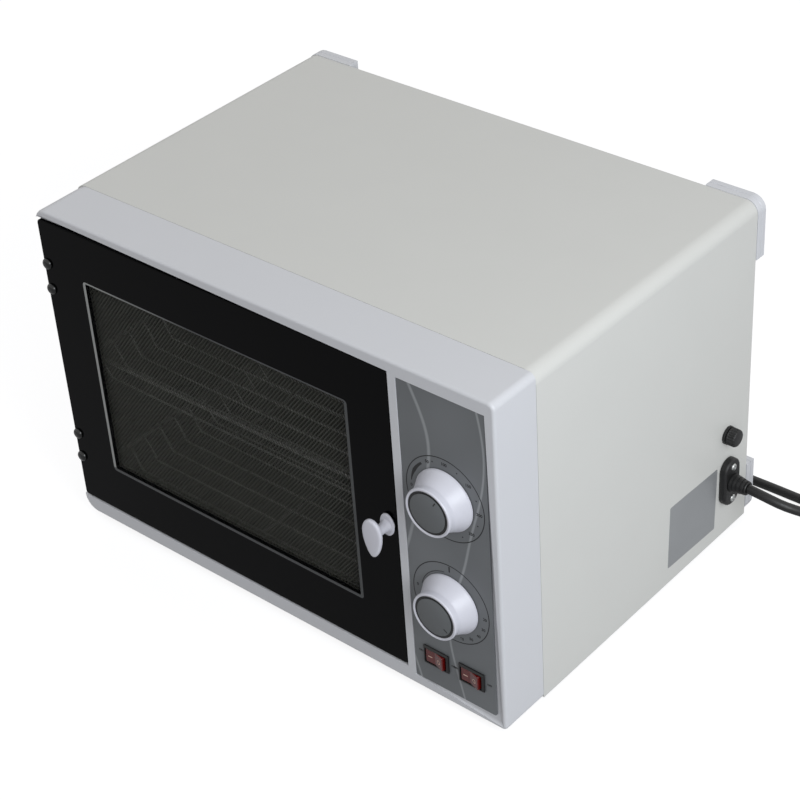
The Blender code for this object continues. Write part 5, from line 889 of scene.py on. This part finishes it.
# Polycarbonate, ruby tinted: clear red over a dark inside, glossy.
red_lens = grain(finish_of("polycarbonate_ruby", "#5F0F0D", 0.22, Coat_Weight=0.15,
                           Subsurface_Weight=0.15), 4.0, 0.01, tint=0.10)
ink_pale = finish_of("screen_print_pale", "#D8B8A8", 0.5)
for name, (low, high) in switches.items():
    dress(name + "_switch_housing", black_nylon, "cabinet", 0.00025)
    middle = Vector(((low.x + high.x) / 2, fascia_front - ROCKER_SEAT + ROCKER_AXIS_DEPTH,
                     (low.z + high.z) / 2))
    place = Matrix.Translation(middle) @ Matrix.Rotation(ROCKER_TILT, 4, "Z")
    dress(name + "_rocker", red_lens, name + "_rocker", 0.0006)
    marks = bmesh.new()
    slope = math.atan2(ROCKER_END - ROCKER_MIDDLE, ROCKER_HALF)
    for sign in (-1, 1):
        spot = Vector((sign * ROCKER_HALF / 2, -(ROCKER_END + ROCKER_MIDDLE) / 2 - 0.00002, 0))
        facet = place @ Matrix.Translation(spot) @ Matrix.Rotation(-sign * slope, 4, "Z")
        if sign < 0:
            x, z = STROKE_HALF
            corners = [(-x, -z), (x, -z), (x, z), (-x, z)]
            skinned(marks, [[facet @ Vector((x, y, z)) for x, z in corners]
                            for y in (-INK_THICKNESS, 0)])
        else:
            ring = bmesh.new()
            printed_arc(ring, Vector((0, 0, 0)), 0, 360, RING_MARK_RADIUS, RING_MARK_WIDTH,
                        steps=24, front=0.0)
            ring.transform(facet)
            made = bpy.data.meshes.new("mark")
            ring.to_mesh(made)
            marks.from_mesh(made)
            bpy.data.meshes.remove(made)
            ring.free()
    keep(name + "_rocker_marks", marks, ink_pale, name + "_rocker")

# Door glass: a toughened pane, screen-printed black at the back except for the window, which
# has a grey printed line round it. The pane is smoky, so the chamber looks dark through it.
WINDOW_LEFT = 0.0399
WINDOW_RIGHT = 0.0367
WINDOW_BOTTOM = 0.0400
WINDOW_TOP = 0.0373
WINDOW_CORNER = 0.0015
LINE_WIDTH = 0.0024
GLASS_CORNER = 0.0030
GLASS_EDGE = 0.0006
PRINT_ROOM = 0.0002
PRINT_THICKNESS = 0.0001
# The grey line's painted highlight: its lit grey, its plain grey, how far across the window it reaches, how
# much it lifts and the size of its specks.
LINE_HIGHLIGHT_GREY = "#9EA09E"
LINE_DULL = "#404243"
LINE_HIGHLIGHT_REACH_SHARE = 0.42
LINE_HIGHLIGHT_SHARE = 0.68
LINE_SPECK_SCALE = 900.0
low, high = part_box("door_glass")
glass_low = low
# Soda-lime glass, smoky grey: clear with a dark tint, and weak reflections in a dim room.
smoky_glass = finish_of("soda_lime_glass_smoky", "#030304", 0.03, Alpha=0.30,
                        Specular_IOR_Level=0.05)
smoky_glass.surface_render_method = "BLENDED"
# The same glass with ceramic ink fired on its back: deep black and smooth, faintly uneven.
black_glass = grain(finish_of("soda_lime_glass_black_backed", "#030304", 0.05,
                              Specular_IOR_Level=0.05), 30.0, 0.004, gloss=0.3)
# Ceramic ink, flat black behind the glass and grey round the window. The grey has a painted
# highlight, speckled, at the left and along the start of the top, and is dull elsewhere.
glass_print = finish_of("ceramic_ink_black", "#060607", 0.5, Specular_IOR_Level=0.1)
glass_line = finish_of("ceramic_ink_grey", "#3E4041", 0.5)


def looped(mesh, loops):
    """Join outlines of equally many points, each at its depth, and the last with the first."""
    rings = [[mesh.verts.new((x, y, z)) for x, z in line] for line, y in loops]
    for i, ring in enumerate(rings):
        bridged(mesh, ring, rings[(i + 1) % len(rings)])
    return mesh


def flat_frame(mesh, outer, inner, y0, y1):
    """A flat plate between two outlines of equally many points, such as a border."""
    return looped(mesh, ((outer, y0), (outer, y1), (inner, y1), (inner, y0)))


window = (low.x + WINDOW_LEFT, high.x - WINDOW_RIGHT, low.z + WINDOW_BOTTOM, high.z - WINDOW_TOP)
edge = GLASS_EDGE
pane_back = high.y - PRINT_ROOM
outer = rounded_box(low.x + edge, high.x - edge, low.z + edge, high.z - edge, GLASS_CORNER - edge)
ground = rounded_box(low.x, high.x, low.z, high.z, GLASS_CORNER)
inner = rounded_box(*window, WINDOW_CORNER)
keep("door_glass_border", looped(bmesh.new(), (
    (inner, low.y), (outer, low.y), (ground, low.y + edge), (ground, pane_back - edge),
    (outer, pane_back), (inner, pane_back))), black_glass, "door", ("door_glass",), 30)
pane = skinned(bmesh.new(), [[(x, y, z) for x, z in inner] for y in (low.y, pane_back)])
keep("door_glass_window", pane, smoky_glass, "door", (), 50)
keep("door_print", flat_frame(bmesh.new(), outer, inner, high.y - PRINT_THICKNESS, high.y), glass_print,
     "door")
line_outer = rounded_box(window[0] - LINE_WIDTH / 2, window[1] + LINE_WIDTH / 2,
                         window[2] - LINE_WIDTH / 2, window[3] + LINE_WIDTH / 4,
                         WINDOW_CORNER + LINE_WIDTH / 2)
line_inner = rounded_box(window[0] + LINE_WIDTH / 2, window[1] - LINE_WIDTH / 2,
                         window[2] + LINE_WIDTH / 2, window[3] - LINE_WIDTH / 4,
                         WINDOW_CORNER * 0.6)
# Painted highlight on the grey line: its colour is lifted towards the brighter grey at the left and along
# the start of the top, speckled by noise, and stays the plain grey elsewhere.
tree = glass_line.node_tree
place = add_node(tree, "ShaderNodeTexCoord").outputs["Object"]
spot = add_node(tree, "ShaderNodeSeparateXYZ", {0: place})
highlight_across = add_node(tree, "ShaderNodeMapRange", {
    "Value": spot.outputs["X"], "From Min": window[0] + LINE_WIDTH / 2,
    "From Max": window[0] + LINE_HIGHLIGHT_REACH_SHARE * (window[1] - window[0]), "To Min": 1.0, "To Max": 0.0})
rise = add_node(tree, "ShaderNodeMapRange", {
    "Value": spot.outputs["Z"], "From Min": window[2] + LINE_WIDTH / 2,
    "From Max": window[2] + LINE_WIDTH, "To Min": 0.0, "To Max": 1.0})
lit = add_node(tree, "ShaderNodeMath", {0: highlight_across.outputs[0], 1: rise.outputs[0]}, operation="MULTIPLY")
speck = add_node(tree, "ShaderNodeTexNoise", {"Vector": place, "Scale": LINE_SPECK_SCALE, "Detail": 2.0})
speckled_highlight = add_node(tree, "ShaderNodeMath", {0: lit.outputs[0], 1: speck.outputs["Fac"]},
                operation="MULTIPLY")
lift = add_node(tree, "ShaderNodeMath", {0: lit.outputs[0], 1: speckled_highlight.outputs[0]}, operation="ADD")
share = add_node(tree, "ShaderNodeMath", {0: lift.outputs[0], 1: LINE_HIGHLIGHT_SHARE}, operation="MULTIPLY",
                 use_clamp=True)
mix = add_node(tree, "ShaderNodeMix", {
    "Factor": share.outputs[0], "A": (*linear(LINE_DULL), 1.0), "B": (*linear(LINE_HIGHLIGHT_GREY), 1.0)},
               data_type="RGBA")
tree.links.new(mix.outputs["Result"], tree.nodes["Principled BSDF"].inputs["Base Color"])
keep("window_line", flat_frame(bmesh.new(), line_outer, line_inner, low.y - INK_THICKNESS, low.y),
     glass_line, "door")

# Door screen: a thin steel sheet with a fine diamond mesh behind the window, which lets heat
# and a little light through. It is clamped between the glass and the door frame.
MESH_SLOPE = math.radians(51.5)
MESH_SPACING = 0.00226
MESH_STRIP = 0.00066
MESH_CROSS_STRIP = 0.00034
MESH_THICKNESS = 0.0004
screen_low, screen_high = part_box("door_screen")
# Dull dark steel, blackened: olive grey with a satin edge.
screen_steel = grain(finish_of("blackened_steel_sheet", "#8E8F84", 0.45, 0.3), 2.0, 0.003, tint=0.12)


def open_tree(name, **kinds):
    """A new Geometry Nodes tree with a geometry input and output and the named inputs."""
    tree = bpy.data.node_groups.new(name, "GeometryNodeTree")
    tree.interface.new_socket("Geometry", in_out="INPUT", socket_type="NodeSocketGeometry")
    for label, kind in kinds.items():
        tree.interface.new_socket(label.replace("_", " "), in_out="INPUT",
                                  socket_type="NodeSocket" + kind)
    tree.interface.new_socket("Geometry", in_out="OUTPUT", socket_type="NodeSocketGeometry")
    return tree, tree.nodes.new("NodeGroupInput").outputs


def close_tree(tree, geometry, material):
    """End a tree: real geometry with its material."""
    real = add_node(tree, "GeometryNodeRealizeInstances", {"Geometry": geometry})
    coated = add_node(tree, "GeometryNodeSetMaterial", {"Geometry": real.outputs[0],
                                                       "Material": material})
    tree.links.new(coated.outputs[0], tree.nodes.new("NodeGroupOutput").inputs[0])
    return tree


def mesh_tree():
    """A sheet of crossing strips, clipped to a rectangle. Each strip is one straight edge whose
    ends are worked out from its number, and is then given its section."""
    tree, given = open_tree("diamond_mesh", Width="Float", Height="Float", Slope="Float",
                            Pitch="Float", Strip_Width="Float", Cross_Width="Float",
                            Strip_Thickness="Float", Corner="Vector", Material="Material")
    sums = {name: given[name] for name in ("Width", "Height", "Slope", "Pitch")}
    sums["number"] = tree.nodes.new("GeometryNodeInputIndex").outputs[0]
    for name, operation, a, b in (
            ("lean", "DIVIDE", "Height", "Slope"), ("span", "ADD", "Width", "lean"),
            ("share", "DIVIDE", "span", "Pitch"), ("count", "FLOOR", "share", 0.0),
            ("middle", "ADD", "number", 0.5), ("place", "MULTIPLY", "middle", "Pitch"),
            ("foot", "SUBTRACT", "place", "lean"), ("head", "ADD", "foot", "lean"),
            ("start", "MAXIMUM", "foot", 0.0), ("end", "MINIMUM", "head", "Width"),
            ("start_run", "SUBTRACT", "start", "foot"), ("end_run", "SUBTRACT", "end", "foot"),
            ("start_z", "MULTIPLY", "start_run", "Slope"), ("end_z", "MULTIPLY", "end_run", "Slope"),
            ("far_start", "SUBTRACT", "Width", "start"), ("far_end", "SUBTRACT", "Width", "end")):
        sums[name] = add_node(tree, "ShaderNodeMath", {0: sums[a], 1: sums.get(b, b)},
                              operation=operation).outputs[0]
    families = []
    for mirrored, a, b in ((False, "start", "end"), (True, "far_start", "far_end")):
        first = add_node(tree, "ShaderNodeCombineXYZ", {"X": sums[a], "Z": sums["start_z"]}).outputs[0]
        last = add_node(tree, "ShaderNodeCombineXYZ", {"X": sums[b], "Z": sums["end_z"]}).outputs[0]
        reach = add_node(tree, "ShaderNodeVectorMath", {0: last, 1: first},
                         operation="SUBTRACT").outputs[0]
        line = add_node(tree, "GeometryNodeMeshLine", {"Count": sums["count"]}).outputs[0]
        spread = add_node(tree, "GeometryNodeSetPosition", {"Geometry": line, "Position": first})
        drawn = add_node(tree, "GeometryNodeExtrudeMesh", {"Mesh": spread.outputs[0], "Offset": reach,
                                                          "Offset Scale": 1.0}, mode="VERTICES")
        curve = add_node(tree, "GeometryNodeMeshToCurve", {"Mesh": drawn.outputs[0]}).outputs[0]
        section = add_node(tree, "GeometryNodeCurvePrimitiveQuadrilateral",
                           {"Width": given["Strip Thickness"],
                            "Height": given["Cross Width" if mirrored else "Strip Width"]})
        solid = add_node(tree, "GeometryNodeCurveToMesh",
                         {"Curve": curve, "Profile Curve": section.outputs[0], "Fill Caps": True})
        families.append(solid.outputs[0])
    joined = tree.nodes.new("GeometryNodeJoinGeometry")
    for family in families:
        tree.links.new(family, joined.inputs[0])
    placed = add_node(tree, "GeometryNodeTransform", {"Geometry": joined.outputs[0],
                                                     "Translation": given["Corner"]})
    return close_tree(tree, placed.outputs[0], given["Material"])


def grown(name, tree, inputs, body, nodes=(), base=None, angle=38.0):
    """Run a Geometry Nodes tree on a base mesh and keep its result as a plain mesh."""
    piece = put(name, base or bpy.data.meshes.new(name))
    modifier = piece.modifiers.new(tree.name, "NODES")
    modifier.node_group = tree
    for item in tree.interface.items_tree:
        if item.in_out == "INPUT" and item.name in inputs:
            modifier[item.identifier] = inputs[item.name]
    made = bpy.data.meshes.new_from_object(
        piece.evaluated_get(bpy.context.evaluated_depsgraph_get()))
    piece.modifiers.remove(modifier)
    piece.data = made
    return settle(piece, body, nodes, angle)


MESH_BORDER = 0.0060
SCREEN_CORNER = 0.0010
window_sheet = (window[0] - MESH_BORDER, window[1] + MESH_BORDER, window[2] - MESH_BORDER,
                window[3] + MESH_BORDER)
grown("door_mesh", mesh_tree(),
      {"Width": window_sheet[1] - window_sheet[0], "Height": window_sheet[3] - window_sheet[2],
       "Slope": math.tan(MESH_SLOPE), "Pitch": MESH_SPACING / math.sin(MESH_SLOPE),
       "Strip Width": MESH_STRIP, "Cross Width": MESH_CROSS_STRIP, "Strip Thickness": MESH_THICKNESS,
       "Corner": (window_sheet[0], (screen_low.y + screen_high.y) / 2, window_sheet[2]),
       "Material": screen_steel}, "door", ("door_screen",))
rim = rounded_box(screen_low.x, screen_high.x, screen_low.z, screen_high.z, SCREEN_CORNER, 2)
screen_border = flat_frame(bmesh.new(), rim, rounded_box(*window_sheet, SCREEN_CORNER, 2),
                           screen_low.y, screen_high.y)
keep("door_mesh_border", screen_border, screen_steel, "door")

# Door frame and seal: a pressed steel frame in black enamel carries the glass, and a silicone
# strip on its back meets the flange of the chamber.
# Enamel, satin black on steel.
black_enamel = grain(finish_of("enamel_satin_black", "#1A1A1B", 0.40), 1.0, 0.006, gloss=0.15)
# Silicone: matt mid grey, slightly soft to the light.
silicone = grain(finish_of("silicone_grey", "#5B5C5C", 0.62), 0.7, 0.01, tint=0.08)
dress("door_frame", black_enamel, "door", 0.0002)
dress("door_seal", silicone, "door", 0.0005)

# Hinges: above and below, a steel block behind the glass turns on a pin between the ears of a
# bracket. Two screws under black domed caps hold the glass to each block.
HINGE_SCREW_RADIUS = 0.0042
HINGE_SCREW_GAP = 0.0002
# Acetal caps over the screws, moulded: black and glossy, so they catch one bright crescent.
cap_black = grain(finish_of("acetal_black_moulded", "#0E0E0F", 0.12), 2.0, 0.002, gloss=0.2)


def copies_tree():
    """Copies of one shape in a row, each a step further on than the one before."""
    tree, given = open_tree("row_of_copies", Count="Int", Step="Vector", Material="Material")
    line = add_node(tree, "GeometryNodeMeshLine", {"Count": given["Count"], "Offset": given["Step"]})
    copies = add_node(tree, "GeometryNodeInstanceOnPoints", {"Points": line.outputs[0],
                                                            "Instance": given["Geometry"]})
    return close_tree(tree, copies.outputs[0], given["Material"])


copies = copies_tree()
for level_name in ("upper", "lower"):
    dress("hinge_block_" + level_name, zinc, "door", 0.0003)
    dress("hinge_bracket_" + level_name, zinc, "cabinet", 0.0002)
    dress("hinge_pin_" + level_name, zinc, "cabinet", 0.0002)
    nodes = ["hinge_screw_%s_%s" % (level_name, end) for end in ("bottom", "top")]
    boxes = [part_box(node) for node in nodes]
    centres = [(box[0] + box[1]) / 2 for box in boxes]
    place = Matrix.Translation((centres[0].x, glass_low.y - HINGE_SCREW_GAP, centres[0].z)) @ toward_front
    dome = [(0, -0.0050), (0.0015, -0.0050), (0.0015, 0), (HINGE_SCREW_RADIUS, 0),
            (HINGE_SCREW_RADIUS, 0.0004), (0.0040, 0.0010), (0.0034, 0.0017), (0.0025, 0.0021),
            (0.0014, 0.00235), (0, 0.0024)]
    one = bmesh.new()
    turned(one, dome, place, 40)
    bmesh.ops.recalc_face_normals(one, faces=one.faces)
    base = bpy.data.meshes.new("hinge_screw")
    one.to_mesh(base)
    one.free()
    grown("hinge_screws_" + level_name, copies,
          {"Count": 2, "Step": (0.0, 0.0, centres[1].z - centres[0].z), "Material": cap_black},
          "door", nodes, base)

# Turn latch: a white moulded handle, a short neck on an oval base, shaped like a drop to give
# the fingers a hold. Its steel spindle passes through the glass and carries the tongue.
LATCH_STEPS = 48
LATCH_BASE = (0.0058, 0.0087, 0.0018)
LATCH_SEAT = (0.0052, 0.0007)
LATCH_NECK = (0.0036, 0.0118)
PADDLE_TOP = 0.0131
PADDLE_BOTTOM = 0.0167
PADDLE_HALF = 0.0085
PADDLE_THICK = 0.0032
PADDLE_TAPER_SHARE = 0.30
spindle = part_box("latch_spindle")
latch_axis = (spindle[0] + spindle[1]) / 2
seat_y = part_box("latch_handle")[1].y


def drop_outline(inset):
    """The paddle about its axis: round above, drawn to a blunt point below."""
    points = []
    for i in range(LATCH_STEPS):
        a = 2 * math.pi * i / LATCH_STEPS
        height = math.sin(a)
        share = (1 - height) / 2
        reach = PADDLE_TOP if height > 0 else PADDLE_BOTTOM
        half = PADDLE_HALF * (1 - PADDLE_TAPER_SHARE * share ** 2)
        points.append(((half - inset) * math.cos(a), (reach - inset) * height))
    return points


def oval(half_x, half_z):
    """An ellipse about the latch's axis, with as many points as the paddle's outline."""
    angles = [2 * math.pi * i / LATCH_STEPS for i in range(LATCH_STEPS)]
    return [(half_x * math.cos(a), half_z * math.sin(a)) for a in angles]


base_top = LATCH_SEAT[1] + LATCH_BASE[2]
neck_end = base_top + LATCH_NECK[1]
sections = [(oval(LATCH_SEAT[0], LATCH_SEAT[0]), depth) for depth in (0, LATCH_SEAT[1])]
for inset, share in ((0.0003, 0.0), (0.0, 0.12), (0.0, 0.55), (0.0003, 0.78), (0.0009, 0.94),
                     (0.0018, 1.0)):
    sections.append((oval(LATCH_BASE[0] - inset, LATCH_BASE[1] - inset),
                     LATCH_SEAT[1] + share * LATCH_BASE[2]))
for share, wide in ((0.0, 0.0010), (0.12, 0.0004), (0.3, 0.0), (0.7, 0.0), (0.9, 0.0006),
                    (1.0, 0.0018)):
    sections.append((oval(LATCH_NECK[0] + wide, LATCH_NECK[0] + wide),
                     base_top + share * LATCH_NECK[1]))
for inset, share in ((0.0014, 0.0), (0.0005, 0.08), (0.0001, 0.22), (0.0, 0.40), (0.0, 0.62),
                     (0.0003, 0.80), (0.0009, 0.94), (0.0020, 1.0)):
    sections.append((drop_outline(inset), neck_end + share * PADDLE_THICK))
rings = [[(latch_axis.x + x, seat_y - depth, latch_axis.z + z) for x, z in line]
         for line, depth in sections]
keep("latch_handle_moulding", skinned(bmesh.new(), rings), knob_white, "latch",
     ("latch_handle",), 60)
dress("latch_spindle", zinc, "latch", 0.0002)
dress("latch_tongue", zinc, "latch", 0.0002)

# Chamber: a folded box of brushed stainless sheet with a flange at its mouth, and a side plate
# with two ledges on each wall, spot-welded on, which carry the baskets.
# Stainless steel, brushed along its length.
stainless = grain(finish_of("stainless_steel_brushed", "#A9ABAC", 0.32, 1.0), 1.2, 0.004, tint=0.05,
                  gloss=0.3, stretch=(1, 0.03, 1))
dress("chamber_liner", stainless, "cabinet", 0.0)
for end in ("left", "right"):
    dress("rack_runner_" + end, stainless, "cabinet", 0.0)

# Wire baskets: a bent and welded rim with cross wires that dip from it to the floor of the
# basket, and a brace under them. The steel is chromed after welding.
BASKET_RIM_RADIUS = 0.00175
BASKET_WIRE_RADIUS = 0.0010
BASKET_BRACE_RADIUS = 0.0012
BASKET_PITCH = 0.0153
BASKET_WIRES = 14
BASKET_OVERHANG = 0.0035
BASKET_CORNER = 0.0060
BASKET_STEP = 0.0040
BASKET_RUN = 0.0100
BASKET_DROP = 0.0170
BASKET_BEND = 0.0035
BEND_POINTS = 5
# Chrome plate: bright and hard, with mirror-like reflections.
chrome = grain(finish_of("chromium_plate", "#E8E8E8", 0.30, 0.6), 3.0, 0.002, gloss=0.25)


def wires_tree():
    """Round wires along the edges of a base mesh, with bent corners, repeated in a row."""
    tree, given = open_tree("bent_wires", Count="Int", Step="Vector", Wire_Radius="Float",
                            Bend_Radius="Float", Sides="Int", Material="Material")
    curve = add_node(tree, "GeometryNodeMeshToCurve", {"Mesh": given["Geometry"]})
    bent = add_node(tree, "GeometryNodeFilletCurve", {"Curve": curve.outputs[0],
                                                     "Count": BEND_POINTS, "Limit Radius": True,
                                                     "Radius": given["Bend Radius"]}, mode="POLY")
    line = add_node(tree, "GeometryNodeMeshLine", {"Count": given["Count"], "Offset": given["Step"]})
    row = add_node(tree, "GeometryNodeInstanceOnPoints", {"Points": line.outputs[0],
                                                         "Instance": bent.outputs[0]})
    real = add_node(tree, "GeometryNodeRealizeInstances", {"Geometry": row.outputs[0]})
    section = add_node(tree, "GeometryNodeCurvePrimitiveCircle", {"Resolution": given["Sides"],
                                                                 "Radius": given["Wire Radius"]})
    solid = add_node(tree, "GeometryNodeCurveToMesh", {"Curve": real.outputs[0], "Fill Caps": True,
                                                      "Profile Curve": section.outputs[0]})
    return close_tree(tree, solid.outputs[0], given["Material"])


def path_mesh(name, points, closed=False):
    """Edges along points, as the base of a wire."""
    count = len(points)
    edges = [(i, (i + 1) % count) for i in range(count if closed else count - 1)]
    data = bpy.data.meshes.new(name)
    data.from_pydata(points, edges, [])
    return data


bent_wires = wires_tree()
for level_name in ("upper", "lower"):
    node = level_name + "_basket"
    low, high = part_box(node)
    rim_z = high.z - BASKET_RIM_RADIUS
    x0, x1 = low.x + BASKET_RIM_RADIUS, high.x - BASKET_RIM_RADIUS
    y0, y1 = low.y + BASKET_RIM_RADIUS, high.y - BASKET_RIM_RADIUS
    floor_z = rim_z - BASKET_DROP
    first = y0 + BASKET_OVERHANG
    wire = [(x0, first, rim_z), (x0 + BASKET_STEP, first, rim_z),
            (x0 + BASKET_STEP + BASKET_RUN, first, floor_z),
            (x1 - BASKET_STEP - BASKET_RUN, first, floor_z), (x1 - BASKET_STEP, first, rim_z),
            (x1, first, rim_z)]
    rim = [(x0, y0, rim_z), (x1, y0, rim_z), (x1, y1, rim_z), (x0, y1, rim_z)]
    brace_z = floor_z - BASKET_WIRE_RADIUS
    middle = (x0 + x1) / 2
    brace = [(middle, first - BASKET_OVERHANG / 2, brace_z),
             (middle, first + (BASKET_WIRES - 1) * BASKET_PITCH + BASKET_OVERHANG / 2, brace_z)]
    for part, points, count, radius, bend, sides, nodes in (
            ("_wires", wire, BASKET_WIRES, BASKET_WIRE_RADIUS, BASKET_BEND, 12, (node,)),
            ("_rim", rim, 1, BASKET_RIM_RADIUS, BASKET_CORNER, 14, ()),
            ("_brace", brace, 1, BASKET_BRACE_RADIUS, 0.0, 12, ())):
        grown(node + part, bent_wires,
              {"Count": count, "Step": (0.0, BASKET_PITCH, 0.0), "Sides": sides,
               "Wire Radius": radius, "Bend Radius": bend, "Material": chrome},
              node, nodes, path_mesh("path", points, part == "_rim"), 60)

# Lamp, heater and ballast: a quartz tube in two ceramic holders under the ceiling, a bent
# tubular heater under the floor of the chamber, and the lamp's choke on the base.
# Quartz glass over its bright metal caps.
quartz = finish_of("quartz_glass", "#E4EAF0", 0.06, Transmission_Weight=0.6)
# Steatite, glazed: warm white with a thin gloss.
ceramic = grain(finish_of("steatite_glazed", "#E2DDD0", 0.28), 1.5, 0.01, tint=0.03)
# Heater sheath: stainless tube, browned by heat.
sheath = grain(finish_of("stainless_heat_browned", "#6E665C", 0.42, 1.0), 8.0, 0.004, tint=0.2)
dress("uv_lamp", quartz, "cabinet", 0.0002)
dress("lamp_holder_left", ceramic, "cabinet", 0.0004)
dress("lamp_holder_right", ceramic, "cabinet", 0.0004)
dress("heater_element", sheath, "cabinet", 0.0)
dress("lamp_ballast", zinc, "cabinet", 0.0004)
